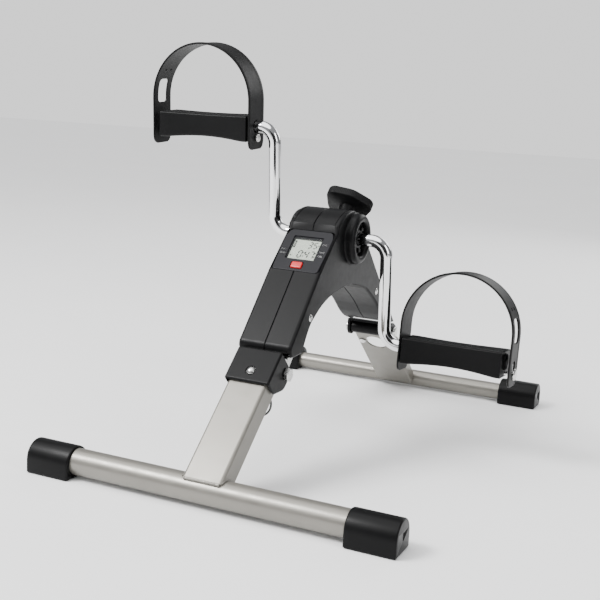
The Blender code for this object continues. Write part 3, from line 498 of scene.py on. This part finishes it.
# Soft boxes: name, place, target, width and height, watts.
LAMPS = (("key", (-1.1, -1.2, 1.7), (0, 0, 0.15), (0.8, 0.6), 62.0),
         ("fill", (1.7, -0.7, 1.0), (0, 0, 0.15), (0.3, 1.2), 12.0),
         ("back", (0.5, 1.8, 1.0), (0, 0, 0.2), (1.4, 0.8), 12.0))
# Broad light from above, angles in degrees.
SKY_STRENGTH = 3.7
SKY_WIDTH = 80.0
SKY_TURN = (18.0, -16.0, 0.0)
# The world as light on the object, and as the white behind it.
ROOM_COLOUR, ROOM_STRENGTH = (0.97, 0.98, 1.0, 1.0), 0.36
BACKDROP_COLOUR, BACKDROP_STRENGTH = (1.0, 1.0, 1.0, 1.0), 1.25
# Dark cards: name, place, width and height in metres. CARD_FOOT is in millimetres.
CARDS = (("card_left", (-1.25, 0.25), (0.55, 1.2)),
         ("card_right", (1.15, 0.55), (0.40, 1.2)),
         ("card_front", (0.38, -0.92), (0.85, 0.8)))
CARD_FOOT = 5.0
# Floor slab, in millimetres.
FLOOR_REACH = 9000
FLOOR_BOTTOM, FLOOR_TOP = -40.0, -0.4


def camera():
    az, el, roll = (math.radians(a) for a in CAMERA_TURN)
    forward = Vector((-math.sin(az) * math.cos(el), math.cos(az) * math.cos(el), -math.sin(el)))
    right = forward.cross(Vector((0, 0, 1))).normalized()
    up = right.cross(forward)
    across = right * math.cos(roll) + up * math.sin(roll)
    above = up * math.cos(roll) - right * math.sin(roll)
    data = bpy.data.cameras.new("camera")
    data.sensor_width = CAMERA_SENSOR
    data.lens = CAMERA_LENS
    data.clip_start = CAMERA_NEAR
    obj = bpy.data.objects.new("camera", data)
    bpy.context.scene.collection.objects.link(obj)
    turn = Matrix((across, above, -forward)).transposed().to_4x4()
    obj.matrix_world = Matrix.Translation(Vector(CAMERA_PLACE)) @ turn
    bpy.context.scene.camera = obj


def lamp(name, place, target, size, energy):
    data = bpy.data.lights.new(name, "AREA")
    data.shape = "RECTANGLE"
    data.size, data.size_y = size
    data.energy = energy
    obj = bpy.data.objects.new(name, data)
    bpy.context.scene.collection.objects.link(obj)
    obj.location = place
    obj.rotation_euler = (Vector(target) - Vector(place)).to_track_quat("-Z", "Y").to_euler()


def sky():
    data = bpy.data.lights.new("sky", "SUN")
    data.energy = SKY_STRENGTH
    data.angle = math.radians(SKY_WIDTH)
    obj = bpy.data.objects.new("sky", data)
    bpy.context.scene.collection.objects.link(obj)
    obj.rotation_euler = [math.radians(a) for a in SKY_TURN]


def room():
    """World: dim as light on the object, bright where the camera sees it directly."""
    world = bpy.data.worlds.new("studio")
    world.use_nodes = True
    tree = world.node_tree
    light = tree.nodes["Background"]
    light.inputs["Color"].default_value = ROOM_COLOUR
    light.inputs["Strength"].default_value = ROOM_STRENGTH
    backdrop = tree.nodes.new("ShaderNodeBackground")
    backdrop.inputs["Color"].default_value = BACKDROP_COLOUR
    backdrop.inputs["Strength"].default_value = BACKDROP_STRENGTH
    path = tree.nodes.new("ShaderNodeLightPath")
    mix = tree.nodes.new("ShaderNodeMixShader")
    tree.links.new(path.outputs["Is Camera Ray"], mix.inputs[0])
    tree.links.new(light.outputs[0], mix.inputs[1])
    tree.links.new(backdrop.outputs[0], mix.inputs[2])
    tree.links.new(mix.outputs[0], tree.nodes["World Output"].inputs["Surface"])
    bpy.context.scene.world = world


def card(name, place, size):
    """Dark upright card facing the object, seen only in reflections."""
    across = Vector((-place[1], place[0], 0)).normalized() * size[0] / 2
    centre = Vector((place[0], place[1], 0))
    corners = [centre - across, centre + across]
    verts = [tuple(c / MM + Vector((0, 0, z))) for z in (CARD_FOOT, size[1] / MM) for c in corners]
    obj = build(name, verts, [(0, 1, 3, 2)])
    obj.data.materials.append(MATS["card"])
    obj.visible_camera = False
    obj.visible_shadow = False
    obj.visible_diffuse = False


def studio():
    for row in LAMPS:
        lamp(*row)
    sky()
    room()
    for row in CARDS:
        card(*row)
    square = box(-FLOOR_REACH, -FLOOR_REACH, FLOOR_REACH, FLOOR_REACH)
    floor = prism_z("floor", square, FLOOR_BOTTOM, FLOOR_TOP)
    floor.data.materials.append(MATS["floor"])


# ---------------------------------------------------------------- housing
ARCH_LINE = [(-122.8, 117.4), (-108.4, 139.4), (-97.5, 148.2), (-78.0, 158.4), (-54.2, 165.0),
             (-20.0, 168.9), (0.5, 168.6), (34.6, 160.7), (57.0, 149.5), (80.0, 134.8),
             (100.0, 119.0), (115.7, 109.6), (130.0, 105.2)]


def crown():
    return arc((-12.0, 191.7), 56.8, 131.0, 90.0, 18) + arc((-12.0, 226.5), 22.0, 90.0, 45.5, 14)[1:]


# Housing half: where its side ends and how far the edge rounds out and in, and the wall.
SIDE_X = 24.4
EDGE_OUT, EDGE_IN, EDGE_STEPS = 3.6, 2.3, 7
WALL = 2.2
GROOVE = (22.6, 23.4)
FRONT_EDGE = [(-96.5, 187.2), (-147.0, 132.2)]
REAR_EDGE = [(6.0, 239.7), (138.0, 110.0)]
SCREW_SPOTS = ((-107.6, 150.4), (72.2, 151.6))


def housing_outline(console_drop=0.0, round_ends=True):
    slope = math.radians(CONSOLE_SLOPE)
    drop = Vector((math.sin(slope), -math.cos(slope))) * console_drop
    points = crown()
    points += [(142.6, 105.0)] if round_ends else [(143.4, 104.7)]
    points += curve(ARCH_LINE, 5)[::-1]
    front = rounded([(-118.0, 117.0, 0), (-160.1, 117.0, 8.0), (-94.0, 189.0, 0)], 10)[1:-1]
    points += front if round_ends else [(-157.0, 117.0)]
    points += [(-94.0, 189.0)]
    points += [tuple(Vector((-91.9, 191.4)) + drop), tuple(Vector((-51.4, 227.9)) + drop)]
    return points


def housing_cuts():
    """Axle hole, leg openings, console pocket, knob hole, screw holes and edge grooves."""
    cuts = [rod("hole", 12.0, 20.0, 31.0, "X", (0, *AXLE), 40)]
    cuts.append(prism_z("hole", box(-5, -144.0, 24.0, -125.6), 112.0, 121.0))
    cuts.append(prism_z("hole", box(-5, 112.0, 22.0, 139.4), 98.0, 110.6))
    pocket = rounded_box(-30, -27.3, 26.35, 27.3, 4)
    cuts.append(placed(prism_z("hole", pocket, -3.3, 9.0), CONSOLE))
    cuts.append(placed(prism_z("hole", box(-30, -24.6, 22.0, 22.6), -9.0, 1.0), CONSOLE))
    cuts.append(placed(rod("hole", 5.2, -34.0, -18.0, "Z"), KNOB))
    for spot in SCREW_SPOTS:
        cuts.append(rod("hole", 4.0, 26.8, 31.0, "X", (0, *spot), 28))
        cuts.append(rod("hole", 1.9, 24.0, 31.0, "X", (0, *spot), 20))
    for line, width in ((FRONT_EDGE, 1.3), (crown(), 1.1), (REAR_EDGE, 1.1)):
        cuts.append(prism_x("hole", strip(line, width), *GROOVE))
    return cuts


def housing_half(side):
    layers = [(0.15, 0.6), (0.75, 0.0), (SIDE_X, 0.0)]
    for i in range(1, EDGE_STEPS + 1):
        r = math.radians(90.0 * i / EDGE_STEPS)
        layers.append((SIDE_X + EDGE_OUT * math.sin(r), EDGE_IN * (1 - math.cos(r))))
    half = layered("housing_shell_" + tag(side), housing_outline(), layers)
    boss = [(13.0, 26.5), (27.4, 26.5), (27.4, 28.4), (26.9, 28.9), (26.45, 30.0), (26.45, 32.9)]
    boss += arc((21.5, 32.9), 4.95, 10.0, 90.0, 8)
    boss += [(20.4, 37.7), (19.0, 37.3), (18.1, 36.4), (17.6, 35.0), (17.2, 32.0), (17.1, 30.1), (13.0, 30.1)]
    half = combine(half, turned("boss", boss, 72, "X", (0, *AXLE)), "UNION")
    cavity = prism_x("cavity", inset(housing_outline(3.0, False), WALL), -2.0, 25.8)
    half = combine(half, cavity)
    for cut in housing_cuts():
        half = combine(half, cut)
    half = softened(sided(half, side), 0.28, 2, 34.0)
    return finished(half, "housing", "frame", "black_plastic", "housing_" + tag(side))


# Hub: spokes and screws, and the angle in degrees at which each row starts.
SPOKES, SPOKE_START = 6, 18
HUB_SCREWS, SCREW_START = 3, 48


def hub(side):
    """Spoked disc in the boss, with the screws that hold it."""
    profile = [(7.3, 30.3), (16.7, 30.3), (16.7, 32.0), (15.6, 32.6), (11.2, 32.6), (10.4, 33.4), (7.3, 33.5)]
    disc = turned("hub_disc_" + tag(side), profile, 64, "X", (0, *AXLE))
    for i in range(SPOKES):
        a = math.radians(360 // SPOKES * i + SPOKE_START)
        wedge = []
        for radius, half in ((9.0, 9.0), (15.0, 14.0)):
            span = arc(AXLE, radius, math.degrees(a) - half * 1.5, math.degrees(a) + half * 1.5, 5)
            wedge += span if radius < 10 else span[::-1]
        disc = combine(disc, prism_x("hole", wedge, 31.4, 36.0))
    disc = softened(sided(disc, side), 0.25, 2)
    finished(disc, "housing", "frame", "black_plastic", "boss_cover_" + tag(side))
    for i in range(HUB_SCREWS):
        a = math.radians(360 // HUB_SCREWS * i + SCREW_START)
        centre = (0, AXLE[0] + 13.2 * math.cos(a), AXLE[1] + 13.2 * math.sin(a))
        head = turned("hub_screw_%s_%d" % (tag(side), i + 1),
                      [(0, 32.7), (2.1, 32.7), (2.1, 33.3), (1.5, 33.9), (0.7, 34.1), (0.7, 33.5), (0, 33.5)],
                      24, "X", centre, solid=True)
        finished(sided(head, side), "dark_steel", "frame", "zinc")


# ---------------------------------------------------------------- console
def lettering(name, text, size, spot, mat, height=-0.02, turn=0.0):
    """Raised print on the console's face; generic digits and function words only."""
    data = bpy.data.curves.new(name, "FONT")
    data.body = text
    data.size = size * MM
    data.align_x = "CENTER"
    data.align_y = "CENTER"
    data.extrude = 0.02 * MM
    data.resolution_u = 3
    shape = bpy.data.objects.new(name + "_shape", data)
    bpy.context.scene.collection.objects.link(shape)
    bpy.context.view_layer.update()
    mesh = bpy.data.meshes.new_from_object(shape.evaluated_get(bpy.context.evaluated_depsgraph_get()))
    bpy.data.objects.remove(shape, do_unlink=True)
    spin = Matrix.Rotation(math.radians(turn), 4, "Z")
    mesh.transform(Matrix.Translation(Vector((spot[0], spot[1], height)) * MM) @ spin)
    obj = bpy.data.objects.new(name, mesh)
    bpy.context.scene.collection.objects.link(obj)
    placed(obj, CONSOLE)
    return finished(obj, mat, "frame", "lcd_face" if mat == "ink" else "console_plastic")


SEGMENTS = {"0": "abcdef", "3": "abcdg", "4": "bcfg", "5": "acdfg", "7": "abc"}


def digit(char, x, y, width, height, stroke):
    """Outlines of one seven-segment digit, slightly slanted."""
    w, h, s = width / 2, height / 2, stroke
    lines = {"a": ((-w, h), (w, h)), "b": ((w, h), (w, 0)), "c": ((w, 0), (w, -h)), "d": ((-w, -h), (w, -h)),
             "e": ((-w, 0), (-w, -h)), "f": ((-w, h), (-w, 0)), "g": ((-w, 0), (w, 0))}
    shapes = []
    for key in SEGMENTS[char]:
        a, b = (Vector(p) for p in lines[key])
        along = (b - a).normalized()
        out = Vector((-along.y, along.x)) * s / 2
        a, b = a + along * s * 0.35, b - along * s * 0.35
        tip = along * s * 0.5
        ring = [a - tip * 0.3, a + out + tip, b + out - tip, b + tip * 0.3, b - out - tip, a - out + tip]
        shapes.append([(x + p.x + 0.10 * p.y, y + p.y) for p in ring])
    return shapes


# Display: the digits' layers above and below, and the words printed beside it.
INK_LAYERS = (-2.35, -2.30)
LABELS = (("R.P.M", -20.6, -0.6), ("SCAN", -20.6, -5.5), ("CNT", 20.0, 9.4), ("TIME", 20.4, -0.6),
          ("CAL", 20.0, -5.5))


def display():
    """Digits, small arrows and a box drawn on the display's face."""
    shapes = []
    for char, x in (("3", 4.0), ("5", 9.6)):
        shapes += digit(char, x, 9.4, 3.4, 7.6, 1.25)
    for char, x in (("0", -3.4), ("4", 3.8), ("7", 9.6)):
        shapes += digit(char, x, -3.2, 3.8, 8.8, 1.35)
    for y in (-1.0, -5.4):
        shapes.append(box(0.0, y - 0.6, 1.2, y + 0.6))
    shapes.append([(-12.0, -6.6), (-12.0, -4.4), (-13.8, -5.5)])
    for y in (9.4, -0.6, -5.5):
        shapes.append([(12.4, y - 1.0), (13.8, y), (12.4, y + 1.0)])
    shapes.append(box(-14.0, 4.6, -11.9, 13.8))
    verts, faces = [], []
    for shape in shapes:
        base = len(verts)
        count = len(shape)
        verts += [(a, b, z) for z in INK_LAYERS for a, b in shape]
        faces.append(tuple(range(base, base + count)))
        faces.append(tuple(range(base + count, base + 2 * count)))
        faces += [(base + i, base + (i + 1) % count, base + count + (i + 1) % count, base + count + i)
                  for i in range(count)]
    obj = placed(build("display_digits", verts, faces, smooth=False), CONSOLE)
    finished(obj, "ink", "frame", "lcd_face")
    lettering("display_stop", "STOP", 2.3, (-12.95, 9.2), "lcd", -2.27, turn=90.0)


def console():
    half_w, half_h = 26.0, 27.0
    plate = rounded([(-half_w + 1.2, -half_h, 3), (half_w - 1.2, -half_h, 3), (half_w, 4.0, 3),
                     (half_w, 18.0, 5), (half_w - 3.0, half_h, 5), (-half_w + 3.0, half_h, 5),
                     (-half_w, 18.0, 5), (-half_w, 4.0, 3)], 8)
    edge = [(-3.0, 0), (-0.8, 0), (-0.45, 0.12), (-0.15, 0.42), (0.0, 0.9)]
    bezel = layered("console_plate", plate, edge, "Z")
    screen = rounded_box(-15.5, -11.0, 15.5, 17.2, 0.8, 6)
    bezel = combine(bezel, prism_z("hole", screen, -5, 5))
    step = rounded_box(-16.3, -11.8, 16.3, 18.6, 1.2, 6)
    bezel = combine(bezel, prism_z("hole", step, -1.3, 5))
    recess = rounded_box(-6.9, -24.2, 6.9, -15.0, 1.8)
    bezel = combine(bezel, prism_z("hole", recess, -1.0, 5))
    key = rounded_box(-6.1, -23.7, 6.1, -15.5, 1.6)
    bezel = combine(bezel, prism_z("hole", key, -5, 5))
    placed(softened(bezel, 0.15, 2), CONSOLE)
    finished(bezel, "console", "frame", "console_plastic", "console_bezel")
    # Dark frame round the display: partly the display's own dark border, and made wider at the top and right
    # as painted shade of the recess wall.
    border_and_shade = prism_z("display_border_and_painted_shade", inset(screen, 0.3), -2.38, -1.9)
    border_and_shade = combine(border_and_shade, prism_z("hole", box(-14.6, -10.3, 14.2, 15.4), -5.0, 5.0))
    finished(placed(border_and_shade, CONSOLE), "cap", "frame", "console_plastic")
    display()
    for text, x, y in LABELS:
        lettering("label_" + text.lower().replace(".", ""), text, 2.9, (x, y), "print")
    button = rounded_box(-5.8, -23.4, 5.8, -15.8, 1.5)
    layers = [(-6.6, 0), (0.35, 0), (0.75, 0.15), (1.05, 0.45), (1.22, 0.9), (1.3, 1.5)]
    finished(placed(layered("button_cap", button, layers, "Z"), CONSOLE), "button", "mode_button",
             "red_button", "mode_button")
    for node, mat in (("lcd_panel", "lcd"), ("lcd_window", "clear"), ("circuit_board", "board"),
                      ("battery", "steel"), ("reed_sensor", "board")):
        repaint(node, mat)


def repaint(node, mat):
    """Better material on a CAD node that stays."""
    NODES[node].data.materials.clear()
    NODES[node].data.materials.append(MATS[mat])


# ---------------------------------------------------------------- crank and knob
# Crank bar: the bends' radius and steps, the bar's radius and its outer end.
BEND, BEND_STEPS = 17.0, 18
BAR_RADIUS, BAR_END = 6.49, 187.5


def crank_arm(side):
    """Bar from the axle's middle out, round a bend, along the arm and out again for the pedal."""
    end = axle_end(side)
    lower = Vector((side * CRANK_X, *AXLE))
    down = (end - lower).normalized()
    out = Vector((side, 0, 0))
    path = [Vector((side * 0.3, *AXLE)), Vector((side * 24.0, *AXLE))]
    turns = [math.radians(90.0 * i / BEND_STEPS) for i in range(BEND_STEPS + 1)]
    path += [lower - out * BEND * (1 - math.sin(a)) + down * BEND * (1 - math.cos(a)) for a in turns]
    path.append(lower + (end - lower) * 0.5)
    path += [end + out * BEND * (1 - math.cos(a)) - down * BEND * (1 - math.sin(a)) for a in turns]
    path.append(Vector((side * BAR_END, end.y, end.z)))
    finished(swept("crank_bar_" + tag(side), path, BAR_RADIUS, 40), "chrome", "crank", "chrome",
             "crank_arm_" + tag(side))


# Knob: three lobes and the saddles between them, and the ribs round the rim.
LOBE_TURNS = (115.5, -4.5, -124.5)
RIBS = 84
RIB_WAVE = (0.0, 0.5, 1.0, 0.5)
RIB_DEPTH = 0.42


def knob():
    """Three-lobed knob with a finely ribbed rim on a turned stem."""
    outline = []
    for a in LOBE_TURNS:
        corner = (19.3 * math.cos(math.radians(a)), 19.3 * math.sin(math.radians(a)))
        outline += arc(corner, 8.9, a + 44.0, a - 44.0, 26)
        outline += arc((0.0, 0.0), 22.5, a - 46.0, a - 73.0, 9)
    length = [0.0]
    for a, b in zip(outline, outline[1:]):
        length.append(length[-1] + (Vector(b) - Vector(a)).length)
    total = length[-1] + (Vector(outline[0]) - Vector(outline[-1])).length
    count, fine = RIBS * len(RIB_WAVE), []
    for i in range(count):
        at = total * i / count
        k = max(j for j in range(len(length)) if length[j] <= at)
        a, b = Vector(outline[k]), Vector(outline[(k + 1) % len(outline)])
        fine.append(tuple(a.lerp(b, (at - length[k]) / max((b - a).length, 1e-6))))
    rings = []
    for z, d in ((0.0, 0.9), (0.3, 0.4), (0.8, 0.1), (1.6, 0.05)):
        rings.append([(a, b, z) for a, b in inset(fine, d)])
    for z in (2.4, 8.0):
        ring = []
        for i, (a, b) in enumerate(inset(fine, 0.05)):
            pull = RIB_DEPTH * RIB_WAVE[i % len(RIB_WAVE)]
            reach = math.hypot(a, b)
            ring.append((a * (1 - pull / reach), b * (1 - pull / reach), z))
        rings.append(ring)
    for z, d in ((8.4, 0.1), (9.2, 0.35), (10.0, 1.0), (10.6, 2.2), (10.85, 4.0)):
        rings.append([(a, b, z) for a, b in inset(fine, d)])
    head = loft("knob_head", rings)
    stem = turned("stem", [(0, -25.7), (6.3, -25.7), (7.3, -24.6), (7.4, -18.0), (7.0, -16.0), (7.6, -6.0),
                           (8.6, -1.2), (10.5, 0.6), (0, 0.6)], 48, "Z", solid=True)
    head = combine(head, stem, "UNION")
    head = combine(head, rod("hole", 3.3, -30.0, 4.0, "Z"))
    finished(placed(head, KNOB), "knob", "tension_knob", "black_plastic", "tension_knob")


# ---------------------------------------------------------------- pedals
def tread_section(scale):
    """Pedal block's section: grooved top and bottom, narrower and lower in the block's middle."""
    grooves = 7
    half = 18.0 - 2.6 * scale
    span = half - 3.0
    pitch = 2 * span / grooves
    top = []
    for i in range(grooves):
        left = -span + pitch * i
        top += [(left + pitch * 0.14, 0.0), (left + pitch * 0.20, -0.25), (left + pitch * 0.26, -1.3),
                (left + pitch * 0.74, -1.3), (left + pitch * 0.80, -0.25), (left + pitch * 0.86, 0.0)]
    z1, z0 = 11.5 - 0.6 * scale, -15.5 + 3.0 * scale
    rim = [(span + 1.0, z1)] + [(half - 1.9 + 1.9 * math.sin(math.radians(t)),
                                z1 - 1.9 + 1.9 * math.cos(math.radians(t))) for t in (20, 45, 70, 90)]
    low = [(half - 2.4 + 2.4 * math.cos(math.radians(t)), z0 + 2.4 - 2.4 * math.sin(math.radians(t)))
           for t in (0, 25, 50, 75)]
    low.append((span + 0.7, z0))
    outline = [(a, z1 + b) for a, b in top] + rim + [(half - 0.5 * scale, -2.0)] + low
    outline += [(-a, z0 - b) for a, b in top]
    outline += [(-a, b) for a, b in low[::-1]] + [(-half + 0.5 * scale, -2.0)]
    outline += [(-a, b) for a, b in rim[::-1]]
    return outline


def pedal(side):
    stations = [(90.0, 0.0), (96.0, 0.0)] + [(98.0 + 4.45 * i, math.sin(math.pi * i / 20) ** 0.9)
                                             for i in range(1, 20)] + [(189.0, 0.0), (195.0, 0.0)]
    body = loft("pedal_block_" + tag(side), [[(x, a, b) for a, b in tread_section(s)] for x, s in stations])
    body = combine(body, rod("hole", 6.8, 80.0, 210.0, "X", segments=40))
    body = combine(body, rod("hole", 9.0, 188.0, 210.0, "X", segments=40))
    body = softened(sided(body, side), 0.3, 2, 40.0)
    finished(placed(body, pedal_frame(side)), "tread", tag(side) + "_pedal", "soft_black",
             "pedal_body_" + tag(side))


# Strap: the ribbed section as (across, lift) fractions, and its half thickness.
STRAP_SECTION = ((-1.0, 0.55), (-0.93, 1.0), (-0.70, 1.0), (-0.68, 0.82), (0.68, 0.82), (0.70, 1.0),
                 (0.93, 1.0), (1.0, 0.55), (1.0, -0.55), (0.95, -1.0), (-0.95, -1.0), (-1.0, -0.55))
STRAP_HALF = 1.1


def strap(side):
    """Foot strap over the pedal, from one end of the block to the other."""
    mid, half = 145.25, 58.15
    path = [(mid - half, -24.0 + 2.0 * i) for i in range(0, 25)]
    path += arc((mid, 26.0), half, 180.0, 0.0, 64)[1:-1]
    path += [(mid + half, 24.0 - 2.0 * i) for i in range(0, 25)]
    rings = []
    last = len(path) - 1
    for i, (x, z) in enumerate(path):
        ahead = Vector(path[min(i + 1, last)]) - Vector(path[max(i - 1, 0)])
        normal = Vector((-ahead.y, ahead.x)).normalized()
        reach = min(i, last - i) * 2.0
        width = 17.0
        if reach < 10.0:
            width = 10.0 + 7.0 * math.sqrt(1 - (1 - reach / 10.0) ** 2)
        rings.append([(x + normal.x * STRAP_HALF * lift, width * across, z + normal.y * STRAP_HALF * lift)
                      for across, lift in STRAP_SECTION])
    band = loft("foot_strap_" + tag(side), rings)
    cuts = [rod("hole", 7.2, 70.0, 110.0, "X", segments=40)]
    cuts.append(rod("hole", 2.4, 70.0, 110.0, "X", (0, 0, -12.0), 24))
    for low, high, width in ((-15.0, 2.0, 5.0), (20.0, 45.0, 9.0)):
        cuts.append(prism_x("hole", rounded_box(-width, low, width, high, 4), 190.0, 215.0))
    for y in (-5.0, 5.0):
        cuts.append(rod("hole", 1.8, 180.0, 215.0, "X", (0, y, 54.0), 24))
    for cut in cuts:
        band = combine(band, cut)
    band = softened(sided(band, side), 0.25, 2, 40.0)
    finished(placed(band, pedal_frame(side)), "strap", tag(side) + "_pedal", "soft_black",
             "strap_" + tag(side))


# ---------------------------------------------------------------- legs and feet
def foot_cap(name, side, foot, body):
    y, bore_z, radius, height = foot
    half = 33.3 / 2
    base = rounded([(y - half, 0.0, 1.6), (y + half, 0.0, 1.6), (y + half, 8.0, 0), (y - half, 8.0, 0)], 6)
    outline = base[:-2] + arc((y, height - half), half, 0.0, 180.0, 44)
    layers = [(137.5, 1.4), (137.8, 0.7), (138.4, 0.25), (139.2, 0.05), (140.0, 0.0), (182.4, 0.0)]
    layers += [(182.4 + 1.6 * math.sin(math.radians(a)), 1.5 * (1 - math.cos(math.radians(a))))
               for a in (20, 40, 60, 75, 90)]
    cap = layered(name + "_moulding_" + tag(side), outline, layers)
    cap = combine(cap, rod("hole", radius + 0.3, 130.0, 180.0, "X", (0, y, bore_z), 48))
    slot = rounded_box(y - 1.7, 10.6, y + 1.7, 18.0, 1.6, 6)
    cap = combine(cap, prism_x("hole", slot, 181.9, 188.0))
    finished(sided(cap, side), "cap", body, "black_plastic", name + "_" + tag(side))


def foot_tube(node, foot, body):
    y, z, radius = foot[:3]
    profile = [(radius - 1.5, -179.4), (radius, -179.4), (radius, 179.4), (radius - 1.5, 179.4)]
    finished(turned(node + "_bar", profile, 72, "X", (0, y, z)), "paint", body, "silver_paint", node)


BEAD_SIDES = 12


def bead(name, frame_of, path, radius, body):
    """Weld bead: a lumpy rope of metal along a joint, its path given in a leg's own frame."""
    points = [frame_of @ (Vector(p) * MM) / MM for p in path]
    obj = swept(name, points, radius, BEAD_SIDES)
    for index in range(BEAD_SIDES * len(points)):
        ring, vertex = index // BEAD_SIDES, obj.data.vertices[index]
        swell = 0.16 * math.sin(ring * 1.9) + 0.10 * math.sin(ring * 4.3 + 1.0)
        vertex.co += (vertex.co - points[ring] * MM) * swell
    finished(obj, "weld", body, "silver_paint")


def front_leg():
    section = rounded_box(-19.8, -8.5, 19.8, 15.0, 3.0, 7)
    leg = loft("front_leg_bar", [[(x, s, t) for x, t in section] for s in (2.0, 150.0)])
    top = [(142.5, -30.0), (142.5, 2.0), (141.0, 8.2), (133.9, 18.0), (133.9, 40.0),
           (170.0, 40.0), (170.0, -30.0)]
    leg = combine(leg, prism_x("hole", top, -40.0, 40.0))
    inner = rounded_box(-18.2, -6.9, 18.2, 13.4, 1.6, 5)
    leg = combine(leg, loft("hole", [[(x, s, t) for x, t in inner] for s in (-9.0, 160.0)]))
    leg = combine(leg, rod("hole", 13.0, -40, 40, "X", segments=64))
    leg = combine(leg, rod("hole", 3.9, -40, 40, "X", (0, *FRONT_PIVOT), 24))
    leg = combine(leg, rod("hole", 5.0, 3.0, 30, "Z", (0, PIN_S, 0), 32))
    leg = combine(leg, rod("hole", 3.6, -20, 3.0, "Z", (0, PIN_S, 0), 24))
    softened(leg, 0.25, 2, 38.0)
    finished(placed(leg, LEG), "paint", "front_leg", "silver_paint", "front_leg_tube")
    edge = [(x, 1.3, 13.9) for x in range(-18, 19)]
    bead("front_weld_top", LEG, edge, 1.5, "front_leg")
    for side in (-1, 1):
        rim = [(side * 19.4, a, b) for a, b in arc((0.0, 0.0), 13.4, 78.0, -34.0, 26)]
        bead("front_weld_side_" + tag(side), LEG, rim, 1.3, "front_leg")


def rear_leg():
    refined("rear_leg_channel", "paint", "rear_leg", "silver_paint", 0.5, 3, 40.0)
    refined("rear_pivot_barrel", "ear", "rear_leg", "black_plastic", 0.5, 3, 40.0)
    refined("rear_leg_screw", "zinc", "rear_leg", "zinc", 0.15)
    line = [(x, 130.6, -2.6) for x in range(-22, 23)]
    bead("rear_weld", REAR, line, 1.2, "rear_leg")


# CAD nodes copied with eased edges: node, finish, body, slot, bevel width and its segments.
REFINED = (("front_hinge_cover", "cover", "frame", "black_plastic", 0.6, 3),
           ("front_hinge_bracket", "zinc", "frame", "zinc", 0.3),
           ("front_pivot_bolt", "zinc", "frame", "zinc", 0.3),
           ("front_pivot_nut", "zinc", "frame", "zinc", 0.3),
           ("rear_hinge_bracket", "ear", "frame", "black_paint", 0.4),
           ("rear_pivot_bolt", "zinc", "frame", "zinc", 0.3),
           ("lock_pin", "zinc", "lock_pin", "zinc", 0.25))
# Pull ring: its radius, the wire's radius, and the y and z of its top.
RING_RADIUS, RING_WIRE = 13.0, 1.05
RING_Y, RING_TOP = -155.419, 85.412
RING_POINTS = 72


def pull_ring():
    ring = []
    for i in range(RING_POINTS):
        a = 2 * math.pi * i / RING_POINTS
        ring.append((RING_RADIUS * math.sin(a), RING_Y, RING_TOP - RING_RADIUS + RING_RADIUS * math.cos(a)))
    finished(swept("ring_wire", ring, RING_WIRE, 16, closed=True), "dark_steel", "pull_ring", "zinc",
             "pull_ring")


def small_pieces():
    for row in REFINED:
        refined(*row)
    pull_ring()
    for side in (1, -1):
        word = tag(side)
        for where in ("front", "rear"):
            refined("housing_screw_%s_%s" % (word, where), "zinc", "frame", "zinc", 0.12)
        for where in ("outer", "inner"):
            refined("strap_stud_%s_%s" % (where, word), "zinc", word + "_pedal", "zinc", 0.2)
        refined("pedal_retainer_" + word, "tread", word + "_pedal", "soft_black", 0.3)
        repaint("crank_bush_" + word, "bronze")
        repaint("bearing_bracket_" + word, "steel")
    for node in ("frame_spine", "friction_band", "band_anchor_pin", "friction_drum", "sensor_magnet",
                 "lock_pin_spring"):
        repaint(node, "steel")
    for node in ("tension_screw", "tension_nut"):
        repaint(node, "zinc")


def main():
    camera()
    studio()
    for side in (1, -1):
        housing_half(side)
        hub(side)
        crank_arm(side)
        pedal(side)
        strap(side)
        foot_cap("front_foot_cap", side, FRONT_FOOT, "front_leg")
        foot_cap("rear_foot_cap", side, REAR_FOOT, "rear_leg")
    console()
    knob()
    front_leg()
    foot_tube("front_foot_tube", FRONT_FOOT, "front_leg")
    foot_tube("rear_foot_tube", REAR_FOOT, "rear_leg")
    rear_leg()
    small_pieces()


main()
